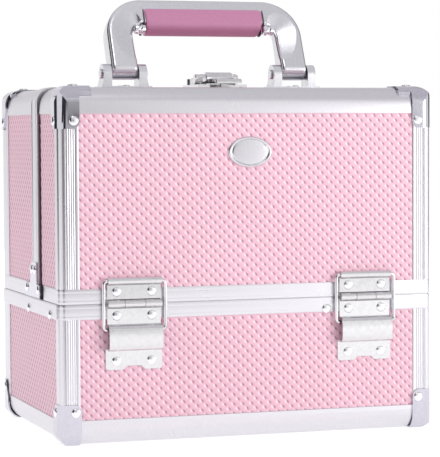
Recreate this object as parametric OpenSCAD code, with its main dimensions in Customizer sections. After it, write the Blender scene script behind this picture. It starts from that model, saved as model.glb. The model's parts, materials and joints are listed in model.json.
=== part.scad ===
// Makeup storage case with a folding handle, in millimetres.
// X is to the right, Y is to the back and Z is up. The origin is under the middle of the case, on the floor.

/* [Case] */
// Width of the case over its edge bars
case_width = 250; // [220:1:300]
// Depth of the case over its edge bars
case_depth = 160; // [146:1:190]
// Height of the case over its edge bars, without the handle
case_height = 223; // [205:1:250]
// Height of the base, up to the top of its rim
base_height = 88; // [78:1:96]
// Depth of the front lid, from the front face to its back edge
front_lid_depth = 48.5; // [45:0.5:55]
// Open gap between the two lids
lid_gap = 4; // [3:0.1:5]
// Gap between the base rim and the lid rims
seam_gap = 0.4; // [0.2:0.1:0.8]
// How far the front lid's side rim bars stop short of its back edge
rim_short = 6.5; // [5:0.5:9]
// Outer radius of the four upright edges of the case
edge_radius = 6; // [4:0.5:8]
// Outer radius of the edges along the top and along the bottom of the case
level_radius = 9.5; // [6:0.5:10]

/* [Walls] */
// Thickness of the aluminium edge bars
bar_thickness = 6; // [5:0.5:8]
// Thickness of the covered panels
panel_thickness = 5; // [4:0.5:5.5]
// Thickness of the inner lining
lining_thickness = 1; // [0.6:0.1:1.5]
// Depth of the step that lets the two lids overlap
rabbet_depth = 3; // [2:0.5:4]
// Clearance round the tongue that closes the gap between the lids
tongue_clearance = 0.3; // [0.2:0.05:0.5]

/* [Edge bars] */
// Height of the top bars on the front, back and sides
top_bar_height = 16.5; // [12:0.5:20]
// Reach of the top bars over the top of the case
top_bar_reach = 17; // [12:0.5:20]
// Height of the bottom bars
bottom_bar_height = 16; // [12:0.5:20]
// Reach of the bottom bars under the case
bottom_bar_reach = 16; // [12:0.5:20]
// Width of each front corner post on the front
front_post_face = 13; // [10:0.5:16]
// Width of each front corner post on the side
front_post_side = 10; // [8:0.5:14]
// Width of each rear corner post on the back
rear_post_face = 13; // [10:0.5:16]
// Width of each rear corner post on the side
rear_post_side = 18; // [12:0.5:22]
// Height of each rim bar, on the base and on the lids
rim_bar_height = 9.3; // [8:0.1:11]
// Width of the strip that frames the rear lid along the lid gap
gap_frame_width = 16; // [13:0.5:19]
// How far the side rim bars of the base stand out past the posts
side_rim_proud = 0.8; // [0.2:0.1:1]
// Width of the T-shaped side plate behind the middle of its stem
tee_reach = 22.5; // [18:0.5:26]
// Radius of the rounded corners of flat plates
plate_round = 2; // [1:0.25:2.5]
// Length of the lug on the T-shaped side plate that reaches over the lid gap
tee_lug = 6; // [4.5:0.5:7]
// Height of the T-shaped plate's stem over the lid's rim bar
tee_rise = 14; // [12:0.5:16]
// How far the strip along the lid gap stands out past the edge bars
gap_frame_proud = 0.8; // [0.4:0.1:1.4]
// Width of the lip along the edge of each bar, next to the panel
lip_width = 2; // [1.5:0.1:2.5]
// Distance from one flute of a corner post to the next
flute_pitch = 1.4; // [1.3:0.05:1.6]
// Width of the fine grooves along the bars
groove_width = 0.8; // [0.5:0.1:1.2]
// Depth of the fine grooves along the bars
groove_depth = 0.5; // [0.3:0.1:0.8]

/* [Corner guards] */
// Sheet thickness of the corner guards
guard_thickness = 1; // [0.8:0.1:1.4]
// Height of a corner guard
guard_height = 26; // [22:0.5:32]
// Width of a guard's leg on the front or back
guard_face = 13.5; // [12:0.5:18]
// Width of a guard's leg on the side
guard_side = 16; // [14:0.5:30]
// Height at which a guard's leg on the side starts to taper
guard_straight = 14; // [9:0.5:16]
// Radius of the rounded corner of a guard's leg on the front or back
guard_round = 4.5; // [3:0.5:6]
// Reach of a top guard over the top of the case
guard_top = 22; // [18:0.5:28]

/* [Rivets] */
// Radius of a rivet head
rivet_radius = 2.3; // [1.8:0.1:2.8]
// Distance of the lone rivet on the front from the right hinge plate
lone_rivet_gap = 8.65; // [6:0.05:12]
// Height of a rivet head
rivet_height = 1.1; // [0.8:0.1:1.6]

/* [Lid hinges] */
// Distance of each lid hinge from the middle of the case
hinge_offset = 77.5; // [60:0.5:84]
// Width of a hinge plate
hinge_width = 34.7; // [30:0.1:40]
// Sheet thickness of the hinge plates
hinge_sheet = 1.2; // [1:0.1:1.6]
// Outer radius of the hinge knuckles
knuckle_radius = 2.5; // [2.2:0.1:3]
// Radius of the hinge pin
hinge_pin_radius = 1.2; // [1:0.05:1.5]
// Length of the middle knuckle
middle_knuckle = 13; // [10:0.5:16]
// Radial clearance of pins, studs and wire in their bores
pin_clearance = 0.05; // [0.03:0.01:0.09]
// Side clearance between knuckles, arms and other moving neighbours
side_clearance = 0.3; // [0.2:0.05:0.4]
// Height of the ring's top bar over the hinge axis
ring_pivot_rise = 14.3; // [13:0.1:16]
// Depth of the ring's bottom bar under the hinge axis when the lid is shut
ring_foot_drop = 16.2; // [15:0.1:18]
// Radius of the ring's wire
ring_wire_radius = 1.1; // [0.9:0.05:1.3]
// Distance between the middles of the ring's two side bars
ring_width = 40; // [38:0.5:46]
// Turn of a ring for each degree of its lid, as seen from the base
ring_turn_share = 0.355; // [0.34:0.005:0.37]
// Length of the flat foot of the hinge strap under its raised slide
strap_foot = 12; // [10:0.5:16]
// Height of the notch in the lower edge of that foot
notch_height = 2.3; // [1.5:0.1:3]
// Distance between the two rivets in each row of a hinge plate
hinge_rivet_spacing = 22.7; // [18:0.1:25]

/* [Trays and arms] */
// Distance of the front arm pivots behind the front face
front_pivot_inset = 24; // [21:0.5:26]
// Height of the arm pivots over the lid hinge axes
pivot_rise = 5.8; // [5:0.1:7]
// Distance between the front and rear arm pivots
arm_spacing = 40; // [34:0.5:42]
// Lean of the arms, back when shut and forward when open, in degrees
arm_lean = 45; // [43:0.5:47]
// Thickness of an arm
arm_thickness = 2; // [1.6:0.1:2.4]
// Half width of an arm
arm_half_width = 5; // [4.5:0.1:5.5]
// Radius of the pivot studs
stud_radius = 2; // [1.6:0.1:2.4]
// Radius of the stud heads
stud_head_radius = 3.5; // [3:0.1:4]
// Thickness of the stud heads
stud_head = 1; // [0.8:0.1:1.2]
// Thickness of the brackets that carry the arms
bracket_thickness = 1.8; // [1.4:0.1:2]
// Reach of each arm bracket in front of its front pivot, and behind its rear one over the rim
bracket_end = 8; // [6:0.5:10]
// Reach of each arm bracket behind its rear pivot under the rim
bracket_tail = 20; // [16:0.5:24]
// Height of each arm bracket over its pivots
bracket_head = 6; // [5:0.5:7]
// Depth of each arm bracket under the base's rim bars
bracket_foot = 7; // [5:0.5:12]
// Thickness of the links between front lid and arms
link_thickness = 1.6; // [1.2:0.1:1.8]
// Half width of those links
link_half_width = 4; // [3.5:0.1:4.5]
// Distance of a link's pivots from the lid hinge axis and from the arm pivot
link_throw = 30; // [26:0.5:32]
// Thickness of the hanger plates on the trays
hanger_thickness = 1.5; // [1.2:0.1:2]
// Reach of the hanger plates in front of the front pivot
hanger_front = 7; // [5:0.5:9]
// Depth of the hanger plates under the pivots
hanger_drop = 6; // [5:0.5:7]
// Distance from the front face to the front of the trays
tray_front_inset = 32; // [31.5:0.1:36]
// Clearance between the trays and the back of the case
tray_back_clearance = 4; // [3:0.1:6]
// Distance from a tray's rear pivot to its back end
tray_end = 5; // [4.5:0.1:7]
// Distance from the upper tray's pivot to its top
upper_pivot_depth = 5; // [4.5:0.1:6]
// Distance from the lower tray's pivot to its top
lower_pivot_depth = 4; // [3.8:0.1:5]
// Gap between the two trays
tray_gap = 1.2; // [1:0.1:3]
// Clearance between the lower tray and the opened front lid
tray_floor_clearance = 1; // [0.6:0.1:3]
// Clearance between the upper tray at its highest and the mirror
tray_roof_clearance = 1.4; // [1:0.1:3]
// Wall thickness of the trays
tray_wall = 1.8; // [1.4:0.1:2.6]
// Thickness of the dividers in the trays
divider_thickness = 1.4; // [1.2:0.1:2]
// Drop of the dividers under the top of their tray
divider_drop = 4; // [1:0.5:8]
// How far the upper tray's long divider stands in front of the middle
divider_shift = 12; // [0:1:20]
// Clearance of the dividers in the trays
divider_clearance = 0.1; // [0.05:0.05:0.4]

/* [Mirror] */
// Width of the mirror
mirror_width = 150; // [120:1:180]
// Depth of the mirror
mirror_depth = 68; // [50:1:72]
// Thickness of the mirror
mirror_thickness = 2.5; // [2:0.1:3]

/* [Handle] */
// Distance of the handle's pivot behind the strip along the lid gap
handle_inset = 15.5; // [13:0.5:20]
// Height of the handle's pivot over the top of the case
handle_pivot_height = 10.5; // [9.5:0.5:14]
// Width of the handle over its legs
handle_width = 137; // [120:1:150]
// Height of the handle from its pivot to its top
handle_height = 52.5; // [46:0.5:64]
// Width of the handle's legs and of its top bar
handle_leg = 18; // [14:0.5:20]
// Thickness of the handle's legs
handle_thickness = 15; // [9:0.5:16]
// Outer radius of the handle's corners
handle_radius = 26; // [22:0.5:30]
// Lean of the handle to the back as it stands in the photograph, in degrees
handle_lean = 25; // [15:1:35]
// Gap between each end of the grip and the bend of the handle
grip_end_gap = 0.4; // [0.2:0.1:2]
// Height of the grip
grip_height = 17; // [13:0.5:20]
// Thickness of the grip
grip_thickness = 17; // [13:0.5:18]
// Height of the metal band that stays bare over the grip
grip_band = 5; // [4:0.5:8]
// Thickness of the ears of the handle brackets at the top
ear_thickness = 5.6; // [2.4:0.1:7]
// How far each ear spreads at its foot
ear_spread = 1; // [0.4:0.1:2]
// Radius of the handle brackets' ears round the pin
ear_radius = 6.5; // [5.5:0.1:7.5]
// Width of a handle bracket's base plate
bracket_base_width = 34; // [28:0.5:38]
// Depth of a handle bracket's base plate
bracket_base_depth = 20; // [16:0.5:24]
// Thickness of a handle bracket's base plate over the top of the case
bracket_base_rise = 2.3; // [1.8:0.1:3]
// Radius of the handle pins
handle_pin_radius = 1.8; // [1.5:0.1:2.2]

/* [Lock] */
// Width of the lock's base plate
lock_width = 34; // [30:0.5:40]
// Height of the lock's base plate over the top of the case
lock_plate = 3; // [2.4:0.1:4]
// Reach of the lock's base plate behind the hasp's pivot
lock_depth = 24; // [20:0.5:28]
// Thickness of the cheeks on both sides of the hasp
lock_cheek = 3; // [2:0.5:4]
// Half width of the strike plate on the front lid
strike_half = 11; // [9:0.5:14]
// Depth of the strike plate
strike_depth = 14; // [12:0.5:16]
// Distance of the hasp's pivot behind the front edge of the rear lid
hasp_inset = 11.5; // [10:0.5:15]
// Half width of the hasp
hasp_half_width = 9; // [7:0.5:11]
// Radius of the hasp's rolled barrel
hasp_barrel = 3.9; // [3.4:0.1:4.5]
// How far the hasp reaches past the edge of the rear lid
hasp_overhang = 12; // [9:0.5:13]
// Radius of the key plug
plug_radius = 3.2; // [2.6:0.1:4]

/* [Badge] */
// Width of the oval badge
badge_width = 29.1; // [24:0.1:36]
// Height of the oval badge
badge_height = 19.4; // [16:0.1:24]
// Height of the badge's middle over the floor
badge_z = 182; // [160:0.5:190]
// Thickness of the badge
badge_thickness = 1.6; // [1:0.1:2.4]

/* [Node] */
// Which piece is drawn

/* [Hidden] */
$fn = 48;
eps = 0.01;
hw = case_width / 2;
hd = case_depth / 2;
hh = case_height;
recess = bar_thickness - panel_thickness;
in_x = hw - bar_thickness - lining_thickness;
in_y = hd - bar_thickness - lining_thickness;
in_roof = hh - bar_thickness - lining_thickness;
wall_x = hw - bar_thickness;
wall_y = hd - bar_thickness;
lid_z = base_height + seam_gap;
front_end = -hd + front_lid_depth;
rear_start = front_end + lid_gap;
front_rim_end = front_end - rim_short;
frame_end = rear_start + gap_frame_width;
lid_rim_top = lid_z + rim_bar_height;
base_rim_bottom = base_height - rim_bar_height;
bottom_lip = bottom_bar_height - lip_width - groove_width;
rabbet_y = front_end - rabbet_depth;
rabbet_half = panel_thickness / 2;
hinge_z = base_height + seam_gap / 2;
hinge_y = hd + knuckle_radius;
ring_length = ring_pivot_rise + ring_foot_drop;
ring_bend = ring_width / 2 - hinge_width / 2 - 0.25;
ring_in = ring_wire_radius + 0.25 + 2.0;
ring_y = hd - recess + ring_in;
ring_out = ring_y + 1.75 + ring_wire_radius + 0.3;
slide_bottom = hinge_z - ring_length * cos(90 * ring_turn_share) - ring_wire_radius - 1.2;
slide_top = hinge_z - ring_foot_drop + ring_wire_radius + 1;
strap_bottom = slide_bottom - hinge_sheet - strap_foot;
leaf_top = hinge_z + ring_pivot_rise;
arm_outer = in_x - bracket_thickness - side_clearance - 0.4;
arm_inner = arm_outer - arm_thickness;
hanger_outer = arm_inner - side_clearance;
tray_half = hanger_outer - hanger_thickness;
pivot_y = -hd + front_pivot_inset;
pivot_z = hinge_z + pivot_rise;
arm_by_height = in_roof - mirror_thickness - tray_roof_clearance - upper_pivot_depth - pivot_z;
arm_by_depth = (in_y - tray_back_clearance - tray_end - arm_spacing - pivot_y) / sin(arm_lean);
arm_length = min(arm_by_height, arm_by_depth);
arm_reach = arm_length * sin(arm_lean);
arm_rise = arm_length * cos(arm_lean);
upper_pivot_z = pivot_z + arm_rise;
upper_top = upper_pivot_z + upper_pivot_depth;
lower_pivot_z = pivot_z + arm_rise / 2;
lower_top = lower_pivot_z + lower_pivot_depth;
lower_bottom = hinge_z + knuckle_radius + bar_thickness + lining_thickness + tray_floor_clearance;
upper_bottom = lower_top + tray_gap;
tray_front = -hd + tray_front_inset;
tray_back = in_y - tray_back_clearance;
handle_y = frame_end + handle_inset;
handle_z = hh + handle_pivot_height;
leg_x = handle_width / 2 - handle_leg / 2;
grip_half = handle_width / 2 - handle_radius - grip_end_gap;
ear_in = handle_leg / 2 + side_clearance;
bracket_top = hh + bracket_base_rise;
pin_head = 1.4;
hasp_y = rear_start + hasp_inset;
lock_top = hh + lock_plate;
lock_back = hasp_y + lock_depth;
hasp_z = lock_top + hasp_barrel + 0.4;
hasp_under = hasp_z - hasp_barrel + 0.8;
plug_x = -lock_width / 2 + plug_radius + 3.3;
plug_y = lock_back - plug_radius - 4.8;
boss_radius = plug_radius + 2.8;
cheek = hasp_half_width + side_clearance;
hasp_pin = 1.5;
strike_top = hh - recess + 1.2;
tee_y = (rear_start + frame_end) / 2 + 2.4;
tongue_x0 = wall_x + tongue_clearance;
tongue_x1 = wall_x + rabbet_half - tongue_clearance;
bracket_back = pivot_y + arm_spacing + bracket_tail;
hinge_row = 7.5;
guard_rivet_in = 5;
guard_rivet_x = hw - guard_face + 3.8;
guard_lap = 2;
side_rivet_in = 8.5;
top_rivet_in = 12.5;
tee_end = tee_y + tee_reach;
mirror_y = (frame_end + in_y) / 2;

// A box given by its lowest and highest corners.
module span(a, b) {
    translate(a) cube([b[0] - a[0], b[1] - a[1], b[2] - a[2]]);
}

// The same piece on the left and on the right.
module pair() {
    children();
    mirror([1, 0, 0]) children();
}

// A rectangle with round corners, about its middle.
module round_rect(w, h, r) {
    square([w - 2 * r, h], center = true);
    square([w, h - 2 * r], center = true);
    for (x = [-1, 1], y = [-1, 1]) {
        translate([x * (w / 2 - r), y * (h / 2 - r)]) circle(r);
    }
}

// A block with every outer edge of the case rounded, grown by g on all sides but the floor.
module case_block(g) {
    intersection() {
        linear_extrude(hh + g) round_rect(case_width + 2 * g, case_depth + 2 * g, edge_radius + g);
        translate([0, hd + g, hh / 2]) rotate([90, 0, 0])
            linear_extrude(case_depth + 2 * g)
                round_rect(case_width + 2 * g, hh + 2 * g, level_radius + g);
        translate([-hw - g, 0, hh / 2]) rotate([90, 0, 90])
            linear_extrude(case_width + 2 * g)
                round_rect(case_depth + 2 * g, hh + 2 * g, level_radius + g);
    }
}

// A domed rivet head whose flat side lies on z = 0.
module rivet_head(r = rivet_radius, h = rivet_height) {
    ball = (r * r + h * h) / (2 * h);
    intersection() {
        translate([0, 0, h - ball]) sphere(ball);
        cylinder(r = r + 1, h = h + 1);
    }
}

// A rivet head on a wall that faces the front (side = -1) or the back (side = 1).
module rivet_y(x, y, z, side) {
    translate([x, y, z]) rotate([-90 * side, 0, 0]) rivet_head();
}

// A rivet head on the right wall.
module rivet_x(x, y, z) {
    translate([x, y, z]) rotate([0, 90, 0]) rivet_head();
}

// ---------------------------------------------------------------- base

module base_front_panel() {
    color("pink")
        span([-hw + front_post_face, -hd + recess, bottom_bar_height],
            [hw - front_post_face, -wall_y, base_rim_bottom]);
}

module base_back_panel() {
    color("pink")
        span([-hw + rear_post_face, wall_y, bottom_bar_height],
            [hw - rear_post_face, hd - recess, base_rim_bottom]);
}

module base_side_panels() {
    color("pink") pair()
        span([wall_x, -hd + front_post_side, bottom_bar_height],
            [hw - recess, hd - rear_post_side, base_rim_bottom]);
}

module base_floor_panel() {
    color("dimgray")
        span([-hw + bottom_bar_reach, -hd + bottom_bar_reach, recess],
            [hw - bottom_bar_reach, hd - bottom_bar_reach, bar_thickness]);
}

module base_bottom_bars() {
    color("silver") {
        for (s = [0, 1]) mirror([0, s, 0]) difference() {
            intersection() {
                case_block(0);
                union() {
                    span([-hw, -hd, 0], [hw, -wall_y, bottom_bar_height]);
                    span([-hw, -hd, 0], [hw, -hd + bottom_bar_reach, bar_thickness]);
                }
            }
            span([-hw, -hd - 1, bottom_lip], [hw, -hd + groove_depth, bottom_lip + groove_width]);
        }
        pair() difference() {
            intersection() {
                case_block(0);
                union() {
                    span([wall_x, -wall_y, 0], [hw, wall_y, bottom_bar_height]);
                    span([hw - bottom_bar_reach, -hd + bottom_bar_reach, 0],
                        [hw, hd - bottom_bar_reach, bar_thickness]);
                }
            }
            span([hw - groove_depth, -hd, bottom_lip], [hw + 1, hd, bottom_lip + groove_width]);
        }
    }
}

// The two corner posts at one end of the case, from z0 to z1. end is -1 at the front, 1 at the back.
module post_pair(z0, z1, end, face, side) {
    pair() mirror([0, end > 0 ? 1 : 0, 0]) difference() {
        intersection() {
            case_block(0);
            union() {
                span([hw - face, -hd, z0], [hw, -wall_y, z1]);
                span([wall_x, -hd, z0], [hw, -hd + side, z1]);
            }
        }
        for (i = [0:3]) translate([hw - face + lip_width + i * flute_pitch, 0, 0])
            span([0, -hd - 1, z0 - 1], [groove_width, -hd + groove_depth, z1 + 1]);
        span([hw - groove_depth, -hd + side - lip_width - groove_width, z0 - 1],
            [hw + 1, -hd + side - lip_width, z1 + 1]);
    }
}

module base_corner_posts() {
    color("silver") {
        post_pair(bottom_bar_height, base_rim_bottom, -1, front_post_face, front_post_side);
        post_pair(bottom_bar_height, base_rim_bottom, 1, rear_post_face, rear_post_side);
    }
}

// A rim bar across the front (or, mirrored, the back), from z0 up, with its rounded ends.
module rim_cross(z0) {
    difference() {
        intersection() {
            case_block(0);
            span([-hw, -hd, z0], [hw, -wall_y, z0 + rim_bar_height]);
        }
        for (z = [lip_width, rim_bar_height - lip_width - groove_width])
            span([-hw, -hd - 1, z0 + z], [hw, -hd + groove_depth, z0 + z + groove_width]);
    }
}

// A rim bar along the right side, from y0 to y1, that stands out by p.
module rim_side(z0, y0, y1, p) {
    difference() {
        span([wall_x, y0, z0], [hw + p, y1, z0 + rim_bar_height]);
        for (z = [lip_width, rim_bar_height - lip_width - groove_width])
            span([hw + p - groove_depth, y0 - 1, z0 + z], [hw + p + 1, y1 + 1, z0 + z + groove_width]);
    }
}

module base_rim_bars() {
    color("silver") {
        rim_cross(base_rim_bottom);
        mirror([0, 1, 0]) rim_cross(base_rim_bottom);
        pair() rim_side(base_rim_bottom, -wall_y, wall_y, side_rim_proud);
    }
}

// The skin between the case and the same block grown by the sheet thickness.
module guard_skin() {
    difference() {
        case_block(guard_thickness);
        case_block(0);
    }
}

// The leg of a bottom guard on the front face, in X and Z, with its inner corner rounded.
module guard_leg() {
    r = guard_round;
    x = hw - guard_face;
    translate([x, -3]) square([guard_face + 3, guard_height + 3 - r]);
    translate([x + r, -3]) square([guard_face + 3 - r, guard_height + 3]);
    translate([x + r, guard_height - r]) circle(r);
}

// A guard at the bottom right front corner.
module bottom_guard() {
    intersection() {
        guard_skin();
        union() {
            translate([0, -hd + level_radius, 0]) rotate([90, 0, 0]) linear_extrude(level_radius + 3)
                guard_leg();
            translate([hw - level_radius, 0, 0]) rotate([90, 0, 90]) linear_extrude(level_radius + 3)
                polygon([[-hd - 3, 0], [-hd + guard_side, 0], [-hd + guard_side, guard_straight],
                    [-hd + guard_side * 0.5, guard_height], [-hd - 3, guard_height]]);
        }
    }
}

// A guard at the top right front corner.
module top_guard() {
    intersection() {
        guard_skin();
        union() {
            translate([0, -hd + level_radius, hh]) mirror([0, 0, 1]) rotate([90, 0, 0])
                linear_extrude(level_radius + 3) guard_leg();
            translate([hw - level_radius, 0, 0]) rotate([90, 0, 90]) linear_extrude(level_radius + 3)
                polygon([[-hd - 3, hh + 3], [-hd + guard_side, hh + 3],
                    [-hd + guard_side, hh - guard_straight],
                    [-hd + guard_side * 0.5, hh - guard_height], [-hd - 3, hh - guard_height]]);
            span([hw - guard_top, -hd - 3, hh - guard_lap], [hw + 3, -hd + guard_top, hh + 3]);
        }
    }
}

module base_corner_guards() {
    color("gainsboro") pair() {
        bottom_guard();
        mirror([0, 1, 0]) bottom_guard();
    }
}

module base_lining() {
    color("dimgray") difference() {
        span([-wall_x, -wall_y, bar_thickness], [wall_x, wall_y, base_height]);
        span([-in_x, -in_y, bar_thickness + lining_thickness], [in_x, in_y, base_height + 1]);
    }
}

// A curled sheet round an axis along X, from x0 to x1.
module knuckle(x0, x1, y, z, r, bore) {
    translate([x0, y, z]) rotate([0, 90, 0]) difference() {
        cylinder(r = r, h = x1 - x0);
        translate([0, 0, -1]) cylinder(r = bore, h = x1 - x0 + 2);
    }
}

// The outline of the raised slide in Y and Z, grown by g from its inner face.
module slide_outline(g) {
    intersection() {
        translate([-hd + recess, (slide_top + slide_bottom) / 2])
            round_rect(2 * (ring_out - hd + recess + g), slide_top - slide_bottom + 2 * g, 2.6 + g);
        translate([-hd - ring_length, slide_bottom - knuckle_radius])
            square([ring_length + recess, slide_top - slide_bottom + 2 * knuckle_radius]);
    }
}

// The outline of the strap's foot in X and Z, with round lower corners and a notch.
module foot_outline(half) {
    r = plate_round;
    n = hinge_width * 0.2;
    z = strap_bottom;
    difference() {
        union() {
            translate([-half, z + r]) square([2 * half, slide_bottom - z - r]);
            translate([-half + r, z]) square([2 * (half - r), r + 1]);
            for (s = [-1, 1]) translate([s * (half - r), z + r]) circle(r);
        }
        polygon([[-n, z - 1], [-n, z + 0.2], [-n + notch_height, z + notch_height],
            [n - notch_height, z + notch_height], [n, z + 0.2], [n, z - 1]]);
    }
}

// One hinge strap on the front of the base: leaf, outer knuckles, raised slide and foot.
module hinge_strap() {
    half = hinge_width / 2;
    mid = middle_knuckle / 2 + side_clearance;
    bore = hinge_pin_radius + pin_clearance;
    difference() {
        union() {
            for (s = [0, 1]) mirror([s, 0, 0]) {
                knuckle(mid, half, -hinge_y, hinge_z, knuckle_radius, bore);
                span([mid, -hd - hinge_sheet, slide_top], [half, -hd, hinge_z - knuckle_radius * 0.3]);
            }
            span([-half, -hd - hinge_sheet, slide_top],
                [half, -hd, hinge_z - knuckle_radius - side_clearance]);
            translate([-half, 0, 0]) rotate([90, 0, 90]) linear_extrude(hinge_width) difference() {
                slide_outline(hinge_sheet);
                slide_outline(0);
            }
            translate([0, -hd + recess, 0]) rotate([90, 0, 0]) linear_extrude(hinge_sheet)
                foot_outline(half + 1);
        }
        translate([-half - 1, -hinge_y, hinge_z]) rotate([0, 90, 0]) cylinder(r = bore, h = hinge_width + 2);
        span([-half - 2, -hd, slide_top - 2 * hinge_sheet], [half + 2, -hd + recess + 1, hinge_z]);
    }
}

module strap_pair() {
    for (s = [-1, 1]) translate([s * hinge_offset, 0, 0]) hinge_strap();
}

module front_hinge_straps() {
    color("lightgray") strap_pair();
}

module rear_hinge_straps() {
    color("lightgray") mirror([0, 1, 0]) strap_pair();
}

module hinge_pin_pair() {
    for (s = [-1, 1]) translate([s * hinge_offset, -hinge_y, hinge_z]) rotate([0, 90, 0])
        cylinder(r = hinge_pin_radius, h = hinge_width + 0.6, center = true);
}

module front_hinge_pins() {
    color("gray") hinge_pin_pair();
}

module rear_hinge_pins() {
    color("gray") mirror([0, 1, 0]) hinge_pin_pair();
}

module arm_brackets() {
    color("silver") pair() {
        span([in_x - bracket_thickness, pivot_y - bracket_end, base_rim_bottom - bracket_foot],
            [in_x, bracket_back, base_height]);
        span([in_x - bracket_thickness, pivot_y - bracket_end, base_height - eps],
            [in_x - side_clearance, pivot_y + arm_spacing + bracket_end, pivot_z + bracket_head]);
        for (i = [0, 1]) stud_in(pivot_y + i * arm_spacing, pivot_z, in_x - bracket_thickness);
    }
}

// A stud from a plate at x, inward through an arm, with its head on the inside.
module stud_in(y, z, x) {
    head = arm_inner - side_clearance;
    translate([head - stud_head, y, z]) rotate([0, 90, 0]) cylinder(r = stud_head_radius, h = stud_head);
    translate([head - eps, y, z]) rotate([0, 90, 0]) cylinder(r = stud_radius, h = x - head + 0.4);
}

// The two rivets of one row of a hinge plate, on a face at y.
module hinge_rivets(y, z) {
    for (s = [-1, 1], t = [-1, 1])
        rivet_y(s * hinge_offset + t * hinge_rivet_spacing / 2, y, z, -1);
}

module base_rivets() {
    color("lightgray") {
        for (s = [0, 1]) mirror([0, s, 0]) {
            hinge_rivets(-hd - hinge_sheet, hinge_z - hinge_row);
            hinge_rivets(-hd + recess - hinge_sheet, strap_bottom + 5.5);
            pair() rivet_y(guard_rivet_x, -hd - guard_thickness, guard_height - guard_rivet_in, -1);
        }
        rivet_y(hinge_offset - hinge_width / 2 - lone_rivet_gap, -hd, hinge_z - hinge_row, -1);
        pair() {
            rivet_x(hw + side_rim_proud, pivot_y - 1.7, hinge_z - hinge_row);
            rivet_x(hw + side_rim_proud, bracket_back - 3.5, hinge_z - hinge_row);
            for (s = [-1, 1])
                rivet_x(hw + guard_thickness, s * (hd - side_rivet_in), guard_height - guard_rivet_in);
        }
    }
}

// ---------------------------------------------------------------- lids

// The step along the back edge of the front lid that takes the tongue of the rear lid.
module rabbet() {
    pair() span([0, rabbet_y, 0], [wall_x + rabbet_half, front_end + 1, hh - bar_thickness + rabbet_half]);
}

module front_lid_front_panel() {
    color("pink")
        span([-hw + front_post_face, -hd + recess, lid_rim_top],
            [hw - front_post_face, -wall_y, hh - top_bar_height]);
}

module front_lid_top_panel() {
    color("pink") difference() {
        span([-hw + top_bar_reach, -hd + top_bar_reach, hh - bar_thickness],
            [hw - top_bar_reach, front_end, hh - recess]);
        rabbet();
    }
}

module front_lid_side_panels() {
    color("pink") pair() difference() {
        span([wall_x, -hd + front_post_side, lid_rim_top], [hw - recess, front_end, hh - top_bar_height]);
        rabbet();
    }
}

// The top bar across the front of the case, with a fine lip along its inner edge on the top.
module top_bar_cross() {
    lip = -hd + top_bar_reach - lip_width;
    difference() {
        intersection() {
            case_block(0);
            union() {
                span([-hw, -hd, hh - top_bar_height], [hw, -wall_y, hh]);
                span([-hw, -hd, hh - bar_thickness], [hw, -hd + top_bar_reach, hh]);
            }
        }
        span([-hw, lip - groove_width, hh - groove_depth], [hw, lip, hh + 1]);
    }
}

// A top bar along the right side between y0 and y1, where a cross bar may take its end.
module top_bar_side(y0, y1) {
    lip = hw - top_bar_reach + lip_width;
    difference() {
        intersection() {
            case_block(0);
            union() {
                span([wall_x, max(y0, -wall_y), hh - top_bar_height], [hw, min(y1, wall_y), hh]);
                span([hw - top_bar_reach, max(y0, -hd + top_bar_reach), hh - bar_thickness],
                    [hw, min(y1, hd - top_bar_reach), hh]);
            }
        }
        span([lip, -hd + top_bar_reach - lip_width, hh - groove_depth],
            [lip + groove_width, hd - top_bar_reach + lip_width, hh + 1]);
    }
}

module front_lid_top_bars() {
    color("silver") {
        top_bar_cross();
        pair() difference() {
            top_bar_side(-hd, front_end);
            rabbet();
        }
    }
}

module front_lid_posts() {
    color("silver")
        post_pair(lid_rim_top, hh - top_bar_height, -1, front_post_face, front_post_side);
}

module front_lid_rim_bars() {
    color("silver") {
        rim_cross(lid_z);
        pair() rim_side(lid_z, -wall_y, front_rim_end, 0);
    }
}

module front_lid_corner_guards() {
    color("gainsboro") pair() top_guard();
}

module front_lid_lining() {
    color("dimgray") {
        difference() {
            span([-wall_x, -wall_y, lid_z], [wall_x, rabbet_y, hh - bar_thickness]);
            span([-in_x, -in_y, lid_z - 1], [in_x, rabbet_y + 1, in_roof]);
        }
        span([-in_x + side_clearance, rabbet_y - 3, in_roof - 1.4],
            [in_x - side_clearance, rear_start + 1.2, in_roof]);
        pair() stud_link();
    }
}

// The stud on the front lid that carries a link, with its head inside.
module stud_link() {
    y = -hinge_y + link_throw * sin(arm_lean);
    z = hinge_z + link_throw * cos(arm_lean);
    x = in_x - 0.2 - link_thickness - 0.2;
    translate([x - stud_head, y, z]) rotate([0, 90, 0]) cylinder(r = stud_head_radius, h = stud_head);
    translate([x - eps, y, z]) rotate([0, 90, 0]) cylinder(r = stud_radius, h = in_x - x + 0.4);
}

// One hinge leaf on the front lid, with the middle knuckle and the lip that holds the ring.
module hinge_leaf() {
    half = hinge_width / 2;
    bore = hinge_pin_radius + pin_clearance;
    difference() {
        union() {
            knuckle(-middle_knuckle / 2, middle_knuckle / 2, -hinge_y, hinge_z, knuckle_radius, bore);
            span([-middle_knuckle / 2, -hd - hinge_sheet, hinge_z + knuckle_radius * 0.3],
                [middle_knuckle / 2, -hd, leaf_top]);
            span([-half, -hd - hinge_sheet, hinge_z + knuckle_radius + side_clearance],
                [half, -hd, leaf_top]);
            knuckle(-half, half, -ring_y, leaf_top, ring_wire_radius + hinge_sheet,
                ring_wire_radius + pin_clearance);
        }
        translate([-half - 1, -hinge_y, hinge_z]) rotate([0, 90, 0]) cylinder(r = bore, h = hinge_width + 2);
        translate([-half - 1, -ring_y, leaf_top]) rotate([0, 90, 0])
            cylinder(r = ring_wire_radius + pin_clearance, h = hinge_width + 2);
    }
}

module leaf_pair() {
    for (s = [-1, 1]) translate([s * hinge_offset, 0, 0]) hinge_leaf();
}

module front_hinge_leaves() {
    color("lightgray") leaf_pair();
}

module rear_hinge_leaves() {
    color("lightgray") mirror([0, 1, 0]) leaf_pair();
}

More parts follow.
